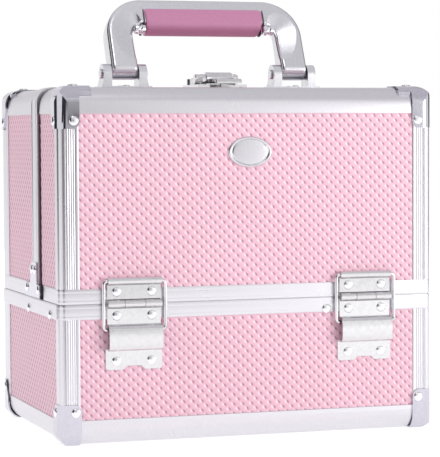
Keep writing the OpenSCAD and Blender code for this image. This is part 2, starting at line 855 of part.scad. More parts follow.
// An ellipse of half axes a and b as a polygon.
module oval(a, b) {
    polygon([for (i = [0:71]) [a * cos(5 * i), b * sin(5 * i)]]);
}

module badge() {
    color("whitesmoke") translate([0, -hd + recess, badge_z]) rotate([90, 0, 0]) {
        difference() {
            linear_extrude(badge_thickness) oval(badge_width / 2, badge_height / 2);
            translate([0, 0, badge_thickness - 0.6]) linear_extrude(1)
                oval(badge_width / 2 - 1.6, badge_height / 2 - 1.6);
        }
        translate([0, 0, badge_thickness - 0.6]) linear_extrude(0.4)
            oval(badge_width / 2 - 2.6, badge_height / 2 - 2.6);
    }
}

module lock_strike() {
    color("lightgray") {
        span([-strike_half, front_end - strike_depth, hh - recess], [strike_half, front_end - 1, strike_top]);
        span([-5, front_end - 5.5, strike_top - eps], [5, front_end - 3, hasp_under - 0.8]);
        for (s = [-1, 1]) translate([s * (strike_half - 3.5), front_end - strike_depth + 4.5, strike_top])
            rivet_head(1.8, 0.8);
    }
}

module front_lid_rivets() {
    color("lightgray") {
        hinge_rivets(-hd - hinge_sheet, hinge_z + hinge_row);
        pair() {
            rivet_y(guard_rivet_x, -hd - guard_thickness, hh - guard_height + guard_rivet_in, -1);
            rivet_x(hw + guard_thickness, -hd + side_rivet_in, hh - guard_height + guard_rivet_in);
            translate([hw - top_rivet_in, -hd + top_rivet_in, hh + guard_thickness]) rivet_head();
        }
    }
}

module rear_lid_back_panel() {
    color("pink")
        span([-hw + rear_post_face, wall_y, lid_rim_top],
            [hw - rear_post_face, hd - recess, hh - top_bar_height]);
}

module rear_lid_top_panel() {
    color("pink")
        span([-hw + top_bar_reach, frame_end, hh - bar_thickness],
            [hw - top_bar_reach, hd - top_bar_reach, hh - recess]);
}

module rear_lid_side_panels() {
    color("pink") pair()
        span([wall_x, frame_end, lid_rim_top], [hw - recess, hd - rear_post_side, hh - top_bar_height]);
}

module rear_lid_top_bars() {
    color("silver") {
        mirror([0, 1, 0]) top_bar_cross();
        pair() top_bar_side(frame_end, hd);
    }
}

module rear_lid_posts() {
    color("silver")
        post_pair(lid_rim_top, hh - top_bar_height, 1, rear_post_face, rear_post_side);
}

module rear_lid_rim_bars() {
    color("silver") {
        mirror([0, 1, 0]) rim_cross(lid_z);
        pair() rim_side(lid_z, rear_start, wall_y, 0);
    }
}

module rear_lid_gap_frame() {
    p = gap_frame_proud;
    color("silver") {
        difference() {
            translate([0, frame_end, hh / 2]) rotate([90, 0, 0]) linear_extrude(frame_end - rear_start)
                difference() {
                    round_rect(case_width + 2 * p, hh + 2 * p, level_radius + p);
                    translate([-wall_x, -hh]) square([2 * wall_x, hh * 1.5 - bar_thickness]);
                    translate([-hw - 5, -hh]) square([case_width + 10, hh / 2 + lid_rim_top]);
                }
            for (y = [rear_start + 2.6, frame_end - 3.4]) {
                span([-hw, y, hh + p - groove_depth], [hw, y + groove_width, hh + p + 1]);
                pair() span([hw + p - groove_depth, y, lid_rim_top - 1], [hw + p + 1, y + groove_width, hh]);
            }
        }
    }
}

module rear_lid_gap_seals() {
    color("black") pair() span([tongue_x0, rabbet_y + tongue_clearance, lid_rim_top],
        [tongue_x1, rear_start, in_roof]);
}

module rear_lid_corner_guards() {
    color("gainsboro") pair() mirror([0, 1, 0]) top_guard();
}

module rear_lid_lining() {
    color("dimgray") difference() {
        span([-wall_x, rear_start + 3, lid_z], [wall_x, wall_y, hh - bar_thickness]);
        span([-in_x, rear_start - 1, lid_z - 1], [in_x, in_y, in_roof]);
    }
}

module mirror_plate() {
    span([-mirror_width / 2, mirror_y - mirror_depth / 2, in_roof - mirror_thickness],
        [mirror_width / 2, mirror_y + mirror_depth / 2, in_roof]);
}

module mirror_glass() {
    color("lightblue") mirror_plate();
}

// The outline of a T-shaped side plate in Y and Z, with its outer corners rounded.
module tee_outline() {
    r = plate_round;
    y0 = rear_start - tee_lug;
    y1 = tee_end;
    front = rear_start + 1.5;
    top = lid_rim_top + tee_rise;
    translate([(y0 + y1) / 2, (lid_z + 0.5 + lid_rim_top) / 2])
        round_rect(y1 - y0, lid_rim_top - lid_z - 0.5, r);
    polygon([[front, lid_rim_top - r], [front, top - r], [front + r, top], [frame_end - r, top],
        [frame_end, top - r], [frame_end + 4, lid_rim_top - r]]);
    for (y = [front + r, frame_end - r]) translate([y, top - r]) circle(r);
}

module tee_plates() {
    color("silver") pair() {
        translate([hw + gap_frame_proud, 0, 0]) rotate([90, 0, 90]) linear_extrude(1) tee_outline();
        span([hw, rear_start + 0.5, lid_z + 0.5],
            [hw + gap_frame_proud + eps, tee_end - plate_round, lid_rim_top]);
    }
}

module handle_brackets() {
    color("gainsboro") pair() translate([leg_x, handle_y, 0]) {
        difference() {
            union() {
                span([-bracket_base_width / 2, -bracket_base_depth / 2, hh - recess],
                    [bracket_base_width / 2, bracket_base_depth / 2, bracket_top]);
                for (s = [0, 1]) mirror([s, 0, 0]) {
                    translate([0, ear_radius, 0]) rotate([90, 0, 0]) linear_extrude(2 * ear_radius)
                        polygon([[ear_in, bracket_top - eps],
                            [ear_in + ear_thickness + ear_spread, bracket_top - eps],
                            [ear_in + ear_thickness, handle_z - handle_pin_radius - pin_head - 0.3],
                            [ear_in + ear_thickness, handle_z], [ear_in, handle_z]]);
                    translate([ear_in, 0, handle_z]) rotate([0, 90, 0])
                        cylinder(r = ear_radius, h = ear_thickness);
                }
            }
            translate([-bracket_base_width, 0, handle_z]) rotate([0, 90, 0])
                cylinder(r = handle_pin_radius + pin_clearance, h = 2 * bracket_base_width);
        }
    }
}

module handle_pins() {
    color("gray") pair() translate([leg_x, handle_y, handle_z]) rotate([0, 90, 0]) {
        cylinder(r = handle_pin_radius, h = 2 * (ear_in + ear_thickness), center = true);
        for (s = [0, 1]) mirror([0, 0, s])
            translate([0, 0, ear_in + ear_thickness]) cylinder(r = handle_pin_radius + pin_head, h = 1.2);
    }
}

module lock_base() {
    end = cheek + lock_cheek;
    color("lightgray") {
        difference() {
            union() {
                span([-lock_width / 2, rear_start + 2, hh + gap_frame_proud],
                    [lock_width / 2, lock_back, lock_top]);
                span([-lock_width / 2, frame_end + 0.2, hh - recess],
                    [lock_width / 2, lock_back, lock_top]);
                for (s = [0, 1]) mirror([s, 0, 0]) {
                    span([cheek, hasp_y - 4, lock_top - eps], [end, hasp_y + 4, hasp_z]);
                    translate([cheek, hasp_y, hasp_z]) rotate([0, 90, 0])
                        cylinder(r = hasp_barrel - 1.3, h = lock_cheek);
                }
                translate([plug_x, plug_y, lock_top - eps]) cylinder(r = boss_radius, h = 4);
            }
            translate([-lock_width, hasp_y, hasp_z]) rotate([0, 90, 0])
                cylinder(r = hasp_pin + pin_clearance, h = 2 * lock_width);
            translate([plug_x, plug_y, lock_top - 1]) cylinder(r = plug_radius + pin_clearance, h = 10);
        }
        translate([0, hasp_y, hasp_z]) rotate([0, 90, 0]) {
            cylinder(r = hasp_pin, h = 2 * end, center = true);
            for (s = [0, 1]) mirror([0, 0, s]) translate([0, 0, end]) cylinder(r = hasp_pin + 0.7, h = 1);
        }
    }
}

module rear_lid_rivets() {
    color("lightgray") {
        mirror([0, 1, 0]) hinge_rivets(-hd - hinge_sheet, hinge_z + hinge_row);
        pair() {
            rivet_y(guard_rivet_x, hd + guard_thickness, hh - guard_height + guard_rivet_in, 1);
            rivet_x(hw + guard_thickness, hd - side_rivet_in, hh - guard_height + guard_rivet_in);
            translate([hw - top_rivet_in, hd - top_rivet_in, hh + guard_thickness]) rivet_head();
            for (y = [rear_start + 5.8, frame_end - 2.2])
                rivet_x(hw + gap_frame_proud + 1, y, lid_rim_top + 9);
            for (y = [tee_end - 5.5, rear_start - tee_lug / 2])
                rivet_x(hw + gap_frame_proud + 1, y, lid_rim_top - 3.4);
            for (y = [-1, 1]) translate([leg_x, handle_y + y * (bracket_base_depth / 2 - 3), bracket_top])
                rivet_head(1.8, 0.8);
        }
    }
}

// ---------------------------------------------------------------- moving hardware

// A rectangular wire ring in the plane y = -ring_y, about x = 0.
module hinge_ring() {
    a = ring_width / 2;
    b = ring_bend;
    w = ring_wire_radius;
    translate([0, -ring_y, leaf_top]) union() {
        for (z = [0, -ring_length])
            translate([-a + b, 0, z]) rotate([0, 90, 0]) cylinder(r = w, h = 2 * (a - b));
        for (x = [-a, a]) translate([x, 0, -ring_length + b]) cylinder(r = w, h = ring_length - 2 * b);
        for (s = [0, 1]) mirror([s, 0, 0]) {
            translate([a - b, 0, -b]) rotate([90, 0, 0])
                rotate_extrude(angle = 90) translate([b, 0]) circle(w);
            translate([a - b, 0, -ring_length + b]) rotate([90, 0, 0]) rotate([0, 0, -90])
                rotate_extrude(angle = 90) translate([b, 0]) circle(w);
        }
    }
}

module ring_pair() {
    for (s = [-1, 1]) translate([s * hinge_offset, 0, 0]) hinge_ring();
}

module front_hinge_rings() {
    color("white") ring_pair();
}

module rear_hinge_rings() {
    color("white") mirror([0, 1, 0]) ring_pair();
}

// An arm on the right side from its pivot on the base, leaning back, with holes at the distances in list d.
module arm(y, d) {
    translate([arm_inner, y, pivot_z]) rotate([-arm_lean, 0, 0]) rotate([90, 0, 90]) difference() {
        linear_extrude(arm_thickness) union() {
            translate([-arm_half_width, 0]) square([2 * arm_half_width, arm_length]);
            circle(arm_half_width);
            translate([0, arm_length]) circle(arm_half_width);
        }
        for (h = d) translate([0, h, -1]) cylinder(r = stud_radius + pin_clearance, h = arm_thickness + 2);
    }
}

module front_arms() {
    color("silver") pair() arm(pivot_y, [0, link_throw, arm_length / 2, arm_length]);
}

module rear_arms() {
    color("silver") pair() arm(pivot_y + arm_spacing, [0, arm_length / 2, arm_length]);
}

// A link on the right side between the front lid and the front arm.
module lid_link() {
    dy = pivot_y + hinge_y;
    dz = pivot_rise;
    y = -hinge_y + link_throw * sin(arm_lean);
    z = hinge_z + link_throw * cos(arm_lean);
    x = in_x - 0.2 - link_thickness;
    len = sqrt(dy * dy + dz * dz);
    translate([x, y, z]) rotate([atan2(dz, dy), 0, 0]) rotate([90, 0, 90]) difference() {
        linear_extrude(link_thickness) union() {
            translate([0, -link_half_width]) square([len, 2 * link_half_width]);
            circle(link_half_width);
            translate([len, 0]) circle(link_half_width);
        }
        translate([0, 0, -1]) cylinder(r = stud_radius + pin_clearance, h = link_thickness + 2);
    }
    stud_in(y + dy, z + dz, x);
}

module lid_links() {
    color("silver") pair() lid_link();
}

// An open tray.
module tray(z0, z1) {
    difference() {
        span([-tray_half, tray_front, z0], [tray_half, tray_back, z1]);
        span([-tray_half + tray_wall, tray_front + tray_wall, z0 + tray_wall],
            [tray_half - tray_wall, tray_back - tray_wall, z1 + 1]);
    }
}

// The dividers of a tray: walls across at the shares of its width in list xs, and one along it at y.
module dividers(z0, z1, xs, y) {
    c = divider_clearance;
    w = tray_half - tray_wall - c;
    union() {
        for (s = xs)
            span([s * tray_half - divider_thickness / 2, tray_front + tray_wall + c, z0 + tray_wall],
                [s * tray_half + divider_thickness / 2, tray_back - tray_wall - c, z1]);
        span([-w, y - divider_thickness / 2, z0 + tray_wall], [w, y + divider_thickness / 2, z1]);
    }
}

// The hanger strips and studs of a tray whose front pivot is at y, z.
module hangers(y, z, top) {
    pair() {
        span([tray_half, y - hanger_front, z - hanger_drop], [hanger_outer, y + arm_spacing + tray_end, top]);
        for (i = [0, 1]) translate([hanger_outer - eps, y + i * arm_spacing, z]) rotate([0, 90, 0]) {
            cylinder(r = stud_radius, h = arm_outer + side_clearance - hanger_outer + eps * 2);
            translate([0, 0, arm_outer + side_clearance - hanger_outer + eps])
                cylinder(r = stud_head_radius, h = stud_head);
        }
    }
}

module lower_tray() {
    color("white") tray(lower_bottom, lower_top);
}

module lower_tray_dividers() {
    color("gainsboro") dividers(lower_bottom, lower_top - divider_drop, [-1 / 3, 1 / 3],
        (tray_front + tray_back) / 2);
}

module upper_tray() {
    color("white") tray(upper_bottom, upper_top);
}

module upper_tray_dividers() {
    color("gainsboro")
        dividers(upper_bottom, upper_top - divider_drop, [-0.5, 0, 0.5],
            (tray_front + tray_back) / 2 - divider_shift);
}

module tray_hangers_lower() {
    color("silver") hangers(pivot_y + arm_reach / 2, lower_pivot_z, lower_top);
}

module tray_hangers_upper() {
    color("silver") hangers(pivot_y + arm_reach, upper_pivot_z, upper_top);
}

// The handle stands in its own frame, with its pivot at the origin.
module handle_place() {
    translate([0, handle_y, handle_z]) rotate([-handle_lean, 0, 0]) children();
}

module handle_section() {
    round_rect(handle_leg, handle_thickness, 2.5);
}

module handle_arch() {
    r = handle_radius;
    m = handle_leg / 2;
    difference() {
        union() {
            pair() {
                translate([leg_x, 0, 5]) linear_extrude(handle_height - r - 5) handle_section();
                translate([leg_x - m, 0, 0]) rotate([0, 90, 0]) cylinder(r = 3.4, h = handle_leg);
                span([leg_x - m, -3.4, 0], [leg_x + m, 3.4, 5 + eps]);
                translate([leg_x + m - r, 0, handle_height - r]) rotate([90, 0, 0])
                    rotate_extrude(angle = 90) translate([r - m, 0]) handle_section();
            }
            translate([-handle_width / 2 + r, 0, handle_height - m]) rotate([0, 90, 0])
                linear_extrude(handle_width - 2 * r) handle_section();
        }
        translate([-hw, 0, 0]) rotate([0, 90, 0])
            cylinder(r = handle_pin_radius + pin_clearance, h = case_width);
    }
}

module handle_frame() {
    color("gainsboro") handle_place() handle_arch();
}

module handle_grip() {
    low = handle_height - grip_band - grip_height;
    color("orchid") handle_place() difference() {
        translate([-grip_half, 0, low + grip_height / 2]) rotate([0, 90, 0])
            linear_extrude(2 * grip_half) round_rect(grip_height, grip_thickness, 3);
        translate([-handle_width / 2, 0, handle_height - handle_leg / 2]) rotate([0, 90, 0])
            linear_extrude(handle_width) handle_section();
    }
}

module hasp() {
    u = hasp_under;
    t = 2.2;
    bend = rear_start - 4;
    tip = rear_start - hasp_overhang;
    rise = (bend - tip) * 0.45;
    w = hasp_half_width;
    color("lightgray") difference() {
        union() {
            translate([-w, hasp_y, hasp_z]) rotate([0, 90, 0]) cylinder(r = hasp_barrel, h = 2 * w);
            translate([-w, 0, 0]) rotate([90, 0, 90]) linear_extrude(2 * w)
                polygon([[hasp_y, u], [bend, u], [tip, u + rise], [tip, u + rise + t],
                    [bend - 0.5, u + t], [hasp_y, u + t]]);
        }
        translate([-w - 1, hasp_y, hasp_z]) rotate([0, 90, 0])
            cylinder(r = hasp_pin + pin_clearance, h = 2 * w + 2);
    }
}

module key_plug() {
    color("gold") translate([plug_x, plug_y, lock_top - 1]) difference() {
        cylinder(r = plug_radius, h = 5.4);
        translate([0, 0, 3.4]) cylinder(r = 0.9, h = 3);
        translate([-0.5, -plug_radius * 0.7, 3.4]) cube([1, plug_radius * 1.4, 3]);
    }
}

// ---------------------------------------------------------------- nodes

base_front_panel();
base_back_panel();
base_side_panels();
base_floor_panel();
base_bottom_bars();
base_corner_posts();
base_rim_bars();
base_corner_guards();
base_lining();
front_hinge_straps();
rear_hinge_straps();
front_hinge_pins();
rear_hinge_pins();
arm_brackets();
base_rivets();
front_lid_front_panel();
front_lid_top_panel();
front_lid_side_panels();
front_lid_top_bars();
front_lid_posts();
front_lid_rim_bars();
front_lid_corner_guards();
front_lid_lining();
front_hinge_leaves();
badge();
lock_strike();
front_lid_rivets();
rear_lid_back_panel();
rear_lid_top_panel();
rear_lid_side_panels();
rear_lid_top_bars();
rear_lid_posts();
rear_lid_rim_bars();
rear_lid_gap_frame();
rear_lid_gap_seals();
rear_lid_corner_guards();
rear_lid_lining();
mirror_glass();  // mirror
tee_plates();
rear_hinge_leaves();
handle_brackets();
handle_pins();
lock_base();
rear_lid_rivets();
front_hinge_rings();
rear_hinge_rings();
front_arms();
rear_arms();
lid_links();
lower_tray();
lower_tray_dividers();
upper_tray();
upper_tray_dividers();
tray_hangers_lower();
tray_hangers_upper();
handle_frame();
handle_grip();
hasp();
key_plug();
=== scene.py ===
"""Makeup storage case with a folding handle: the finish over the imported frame.

Lengths in this script are millimetres, +X to the right, +Y to the back, +Z up, and the meshes
are made in metres. Pieces take their places from the frame's own nodes.
"""
import json
import math

import bmesh
import bpy
import numpy as np
from mathutils import Matrix, Vector

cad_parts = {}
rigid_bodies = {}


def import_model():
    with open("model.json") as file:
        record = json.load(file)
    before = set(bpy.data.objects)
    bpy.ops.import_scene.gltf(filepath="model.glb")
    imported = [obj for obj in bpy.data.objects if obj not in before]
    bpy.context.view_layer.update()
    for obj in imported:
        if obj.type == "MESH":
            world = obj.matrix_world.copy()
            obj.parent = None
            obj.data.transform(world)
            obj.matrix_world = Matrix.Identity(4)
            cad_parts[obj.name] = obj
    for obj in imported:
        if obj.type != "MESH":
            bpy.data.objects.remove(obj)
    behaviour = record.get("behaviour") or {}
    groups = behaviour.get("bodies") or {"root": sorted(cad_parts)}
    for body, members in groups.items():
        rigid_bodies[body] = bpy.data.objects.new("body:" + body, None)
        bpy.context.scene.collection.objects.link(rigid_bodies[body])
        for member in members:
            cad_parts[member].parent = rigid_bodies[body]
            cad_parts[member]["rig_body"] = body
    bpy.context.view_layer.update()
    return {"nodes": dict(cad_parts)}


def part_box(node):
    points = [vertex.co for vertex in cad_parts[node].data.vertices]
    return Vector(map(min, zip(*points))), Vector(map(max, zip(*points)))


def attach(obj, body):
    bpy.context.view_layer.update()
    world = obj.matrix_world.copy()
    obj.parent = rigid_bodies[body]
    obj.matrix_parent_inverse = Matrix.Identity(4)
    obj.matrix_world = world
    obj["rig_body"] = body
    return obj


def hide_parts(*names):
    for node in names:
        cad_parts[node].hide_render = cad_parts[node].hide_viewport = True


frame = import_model()

MM = 1000.0
MIRROR_X = np.array([-1, 1, 1])   # turns a right side into a left side


def reach(node):
    """Lowest and highest corner of a node, in millimetres."""
    low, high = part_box(node)
    return np.array(low) * MM, np.array(high) * MM


# ---------------------------------------------------------------- sizes taken from the frame

HALF_W = reach("base_bottom_bars")[1][0]
HALF_D = reach("base_bottom_bars")[1][1]
CASE_TOP = reach("front_lid_top_bars")[1][2]
TOP_BAR_LOW = reach("front_lid_top_bars")[0][2]
BOTTOM_BAR_TOP = reach("base_bottom_bars")[1][2]
FRONT_LID_END = reach("front_lid_top_bars")[1][1]
REAR_BAR_START = reach("rear_lid_top_bars")[0][1]
POST_FACE = HALF_W - reach("front_lid_front_panel")[1][0]
FRONT_POST_SIDE = reach("base_side_panels")[0][1] + HALF_D
REAR_POST_SIDE = HALF_D - reach("base_side_panels")[1][1]
HANDLE_PIVOT = (reach("handle_pins")[0] + reach("handle_pins")[1]) / 2
HANDLE_HALF = reach("handle_frame")[1][0]

# sizes of the finish, in millimetres
EDGE_ROUND = 4.0          # outer radius of the four upright edges
EDGE_FLAT = 0.3           # first flat stretch beside an upright edge's arc
LEVEL_ROUND = 9.5         # outer radius of the edges along the top and the bottom
BAR_WALL = 6.0            # thickness of the edge bars
TOP_REACH = 17.0          # reach of the top bars over the top
BOTTOM_REACH = 16.0       # reach of the bottom bars under the case
CROWN = 0.5               # how far a bar's face leans back before it turns over the edge
BAR_GROOVE = 0.03         # depth of the fine grooves along the bars
RIVET_GROW = 1.3          # a rivet head's width over the width of its solid
FLUTES = 4                # flutes on a corner post
FLUTE_END = 5.0           # distance of the last flute from the corner
FLUTE_INSET = 0.33        # middle of the flutes' wave under the post's face
FLUTE_DEEP = 0.12         # how far the flutes swing to each side of that middle
LINE_WIDE = 1.5           # width of the raised line between the flutes and the corner
SEAM_FILL = 0.6           # share of the seam to the lids that the base's tongue closes
RABBET = 3.0              # depth of the step along the front lid's back edge
RABBET_WALL = 3.5         # wall that the step leaves
SCALE_PITCH = 6.05        # distance between two scales of the embossing in a row
SCALE_ROW = 3.05          # distance between two rows of scales
SCALE_RISE = 0.42         # height of a scale
SHEET_LIFT = 0.04         # lowest place of the embossed sheet over its panel
PATTERN_X = -2.27         # place of a pit beside the middle of the case
PATTERN_Z = 0.5           # height of that pit
PIT_LEAN = math.radians(57)   # lean of a pit down to the right
PIT_LONG = 1.25           # half length of a pit
PIT_WIDE = 0.5            # half width of a pit
SIDE_PIT_WIDE = 0.85      # half width of a pit on the side panels
CREST_AWAY = 1.4          # how far the crest of a scale stands left of its pit
CREST_LONG = 1.15         # half length of a crest
CREST_WIDE = 0.55         # half width of a crest
TAIL_AWAY = 1.5           # how far the shallow tail of a pit lies right of it
TAIL_WIDE = 1.6           # its width over the pit's
GROUND = 0.6              # level of the ground between scales, as a share of SCALE_RISE
PIT_DEEP = 0.62           # and the same share for a pit's depth,
CREST_TALL = 0.4          # a crest's height
TAIL_DEEP = 0.1           # and a tail's depth
SHEET_TUCK = 0.3          # how far a sheet's rim goes down into its panel
HANDLE_LEAN = math.radians(25)   # how far the handle leans back
HANDLE_TALL = 52.5        # from the pivot to the handle's top
HANDLE_LEG = 18.0         # width of a leg
HANDLE_THICK = 15.0       # thickness of a leg
HANDLE_BEND = 26.0        # outer radius of the handle's corners
LEG_END = 3.4             # how far a leg reaches below its pivot
LEG_ROUND = 3.0           # height over the pivot at which the leg's end starts to round
LEG_EDGE = 2.5            # radius of a leg's long edges
FACET_START = 8.0         # height at which the leg's crescent facet starts
FACET_BEND = 0.86         # share of the bend after which the facet ends
FACET_LEAST = 2.7         # the facet's width at its ends
FACET_SWELL = 12.0        # how much wider it is in its middle
FACET_DROP = 2.6          # how far its inner edge falls back
LONGEST_SPAN = 20.0       # longest stretch between two sections of a bar
GRIP_BAND = 5.0           # bare metal over the grip
GRIP_TALL = 17.0
GRIP_THICK = 17.0
GRIP_HALF = 42.1          # half the grip's length
GRIP_SLANT = 1.4          # how far the grip's ends lean from their foot to their top
GRIP_SQUARE = 3.2         # 2 is an ellipse, more is squarer
CLIP_LONG = 7.6           # length of a clip at the grip's end
CLIP_TUCK = 0.5           # how far it starts inside the grip
CLIP_LOW = 0.97           # depth of its middle as a share of the grip's height
CLIP_FORWARD = 4.6        # how far a clip stands in front of the handle's middle
GUARD_SHEET = 1.0         # sheet thickness of a corner guard
GUARD_TOP = 22.0          # reach of a top guard's tongue from the corner
GUARD_FACE = 13.5         # width of a guard's leg on the front
GUARD_SIDE = 16.0         # width of a guard's leg on the side
HEM_START = 62            # angles round the turned edge, in degrees: the hem's start,
HEM_TOP = 48              # where it starts to fall
HEM_END = 28              # and its end on the bar
HEM_TUCK = 0.3            # how far a hem runs on under the guard's legs
HEM_UNDER = 0.05          # how far its face starts under the guard's
HEM_SINK = 0.4            # how far its end dips into the bar
HEM_WALL = 1.2            # depth of its inner side in the bar
HINGE_X = 77.5            # middle of a hinge from the middle of the case
HINGE_HALF = 17.0         # half length of a hinge's line of painted shade along its joint
HINGE_SHEET = 1.2         # sheet thickness of a hinge
LEAF_LOW = 91.0           # lower edge of a hinge's leaf
LEAF_CURL_LOW = 100.1     # where the leaf's curl meets its sheet
STRAP_TOP = 85.4          # upper edge of a hinge's strap under the knuckle
JOINT_HALF = 0.26         # half height of that line of painted shade
JOINT_PROUD = 0.06        # how far it stands over the sheet
JOINT_ROOT = 0.5          # and how far it goes into it
JOINT_GAP_DOWN = 0.2      # its middle under the leaf's lower edge
JOINT_GAP_UP = 0.1        # and over the strap's upper edge
HASP_PIVOT = np.array([-16.0, 230.3])   # middle of its barrel, as y and z
HASP_TIP = np.array([reach("hasp")[0][1], 226.8])   # front of its plate and middle of the curl
HASP_BANDS = 7            # shallow hollows round the barrel
HASP_RIPPLE = 0.14        # half their depth
HASP_WRAP = (307, -18)    # the barrel's arc, in degrees, from below to where the plate starts
HASP_TURN = 190           # the angle at which the curled edge ends
HASP_HALF = 9.0           # half width of the hasp
HASP_ROLL = 3.9           # radius of its barrel
HASP_CURL = 2.6           # outer radius of the curled front edge
HASP_SHEET = 1.9          # thickness of its plate
KNURL_LEFT = -16.6        # left end of the knurled barrel
KNURL_LONG = 6.4
KNURL_RADIUS = 3.3
KNURL_DROP = 0.8          # how far its middle lies under the hasp's barrel
KNURL_RIPPLE = 0.05       # the knurls' height as a share of the radius
KNURLS = 18               # knurls round it
MERGE = 0.002             # distance within which two points of a solid are one
FLAT_TURN = 0.8           # turn, in degrees, under which two triangles are one face
SMOOTH_TURN = 32.0        # turn, in degrees, up to which a solid is smooth,
ROUND_TURN = 40.0         # and the same on a round wire or pin
EASE_TURN = 35.0          # turn, in degrees, from which an edge is eased
EASE_STEPS = 2            # faces across an eased edge
NOISE_LOW, NOISE_HIGH = 0.3, 0.7   # where most of a noise's values lie


# ---------------------------------------------------------------- finishes

def shader(name):
    """A new material with its principled shader and a fresh output."""
    mat = bpy.data.materials.new(name)
    mat.use_nodes = True
    nodes, links = mat.node_tree.nodes, mat.node_tree.links
    bsdf = nodes["Principled BSDF"]
    coords = nodes.new("ShaderNodeTexCoord")
    return mat, nodes, links, bsdf, coords


def noise(nodes, links, coords, scale, detail=3.0):
    """Noise on the piece's own coordinates, which are metres."""
    tex = nodes.new("ShaderNodeTexNoise")
    tex.inputs["Scale"].default_value = scale
    tex.inputs["Detail"].default_value = detail
    links.new(coords.outputs["Object"], tex.inputs["Vector"])
    return tex.outputs["Fac"]


def ramp(nodes, links, source, stops):
    """A colour ramp over a value, from a list of (place, colour)."""
    node = nodes.new("ShaderNodeValToRGB")
    bar = node.color_ramp
    while len(bar.elements) < len(stops):
        bar.elements.new(0.5)
    for element, (place, colour) in zip(bar.elements, stops):
        element.position = place
        element.color = (*colour, 1)
    links.new(source, node.inputs["Fac"])
    return node.outputs["Color"]


def greys(nodes, links, source, stops):
    """A ramp of greys over a value, from a list of (place, level)."""
    return ramp(nodes, links, source, [(place, (level,) * 3) for place, level in stops])


def grained(nodes, links, source, dark, light):
    """A colour that runs from dark to light over a noise."""
    return ramp(nodes, links, source, [(NOISE_LOW, dark), (NOISE_HIGH, light)])


def linear(r, g, b):
    """A colour written as it shows on the screen, 0 to 255, in linear light."""
    return tuple(((c / 255 + 0.055) / 1.055) ** 2.4 if c > 10 else c / 3295 for c in (r, g, b))


def metal(name, dark, light, roughness, grain=900.0):
    """Metal whose colour and gloss drift a little over a fine grain."""
    mat, nodes, links, bsdf, coords = shader(name)
    grains = noise(nodes, links, coords, grain, 2.0)
    links.new(grained(nodes, links, grains, linear(*dark), linear(*light)),
              bsdf.inputs["Base Color"])
    gloss = nodes.new("ShaderNodeMapRange")
    gloss.inputs["To Min"].default_value = roughness * 0.94
    gloss.inputs["To Max"].default_value = roughness * 1.06
    links.new(noise(nodes, links, coords, 60.0, 2.0), gloss.inputs["Value"])
    links.new(gloss.outputs["Result"], bsdf.inputs["Roughness"])
    bsdf.inputs["Metallic"].default_value = 1.0
    return mat


def soft(name, dark, light, roughness, grain=700.0, relief=0.05, sheen=0.0):
    """Matt plastic, board or cloth with a fine grain, which its relief in millimetres raises."""
    mat, nodes, links, bsdf, coords = shader(name)
    grains = noise(nodes, links, coords, grain)
    links.new(grained(nodes, links, grains, linear(*dark), linear(*light)),
              bsdf.inputs["Base Color"])
    bsdf.inputs["Roughness"].default_value = roughness
    bsdf.inputs["Specular IOR Level"].default_value = 0.4
    bsdf.inputs["Sheen Weight"].default_value = sheen
    bump = nodes.new("ShaderNodeBump")
    bump.inputs["Strength"].default_value = 0.4
    bump.inputs["Distance"].default_value = relief / MM
    links.new(grains, bump.inputs["Height"])
    links.new(bump.outputs["Normal"], bsdf.inputs["Normal"])
    return mat


def embossed_pink():
    """Pink sheet: painted shade in the pits and furrows, painted highlight on the crests."""
    mat, nodes, links, bsdf, coords = shader("embossed_pink_with_painted_shade")
    height = nodes.new("ShaderNodeAttribute")
    height.attribute_name = "scale_height"
    # the ramp over the scale height paints shade, dark mauve, into the pits and a near-white
    # highlight onto the crests
    colour = ramp(nodes, links, height.outputs["Fac"],
                  [(0.0, linear(142, 92, 112)), (0.28, linear(204, 147, 167)),
                   (0.52, linear(236, 188, 202)), (0.72, linear(246, 207, 218)),
                   (1.0, linear(255, 246, 249))])
    cloud = grained(nodes, links, noise(nodes, links, coords, 18.0), (0.97,) * 3, (1.0,) * 3)
    blend = nodes.new("ShaderNodeMix")
    blend.data_type = "RGBA"
    blend.blend_type = "MULTIPLY"
    blend.inputs["Factor"].default_value = 1.0
    links.new(colour, blend.inputs["A"])
    links.new(cloud, blend.inputs["B"])
    links.new(blend.outputs["Result"], bsdf.inputs["Base Color"])
    bsdf.inputs["Roughness"].default_value = 0.34
    bsdf.inputs["Specular IOR Level"].default_value = 0.5
    return mat


PINK = embossed_pink()
PANEL_EDGE = soft("panel_board_edge", (40, 34, 37), (54, 46, 50), 0.6)
BAR = metal("satin_aluminium", (221, 219, 224), (226, 224, 229), 0.28)
CHROME = metal("bright_corner_chrome", (204, 202, 212), (210, 208, 218), 0.08, 400.0)
NICKEL = metal("hinge_nickel", (219, 218, 220), (226, 225, 227), 0.12, 400.0)
CAST = metal("satin_handle_casting", (222, 222, 226), (228, 228, 232), 0.24, 700.0)
RIVET = metal("polished_rivet", (236, 236, 240), (244, 244, 248), 0.07, 500.0)
ARM = metal("zinc_arm_strip", (176, 178, 182), (198, 200, 204), 0.3, 500.0)
BADGE = metal("satin_badge", (213, 211, 216), (220, 218, 223), 0.25, 900.0)
BRASS = metal("key_plug_metal", (190, 186, 176), (206, 202, 192), 0.22, 500.0)
GRIP = soft("mauve_grip", (186, 124, 156), (194, 133, 164), 0.42, 900.0, 0.03)
# dark mauve for the painted shade round the grip's ends
GRIP_END_SHADE = soft("painted_grip_end_shade", (70, 44, 58), (84, 54, 70), 0.5)
BOARD = soft("black_board", (22, 22, 24), (34, 34, 36), 0.7)
LINING = soft("black_napped_lining", (26, 26, 29), (44, 44, 48), 0.92, 1600.0, 0.12, 0.4)
TRAY = soft("black_tray", (30, 30, 33), (42, 42, 46), 0.55, 1200.0, 0.04)
DIVIDER = soft("black_divider", (36, 36, 40), (50, 50, 54), 0.6, 1200.0, 0.04)
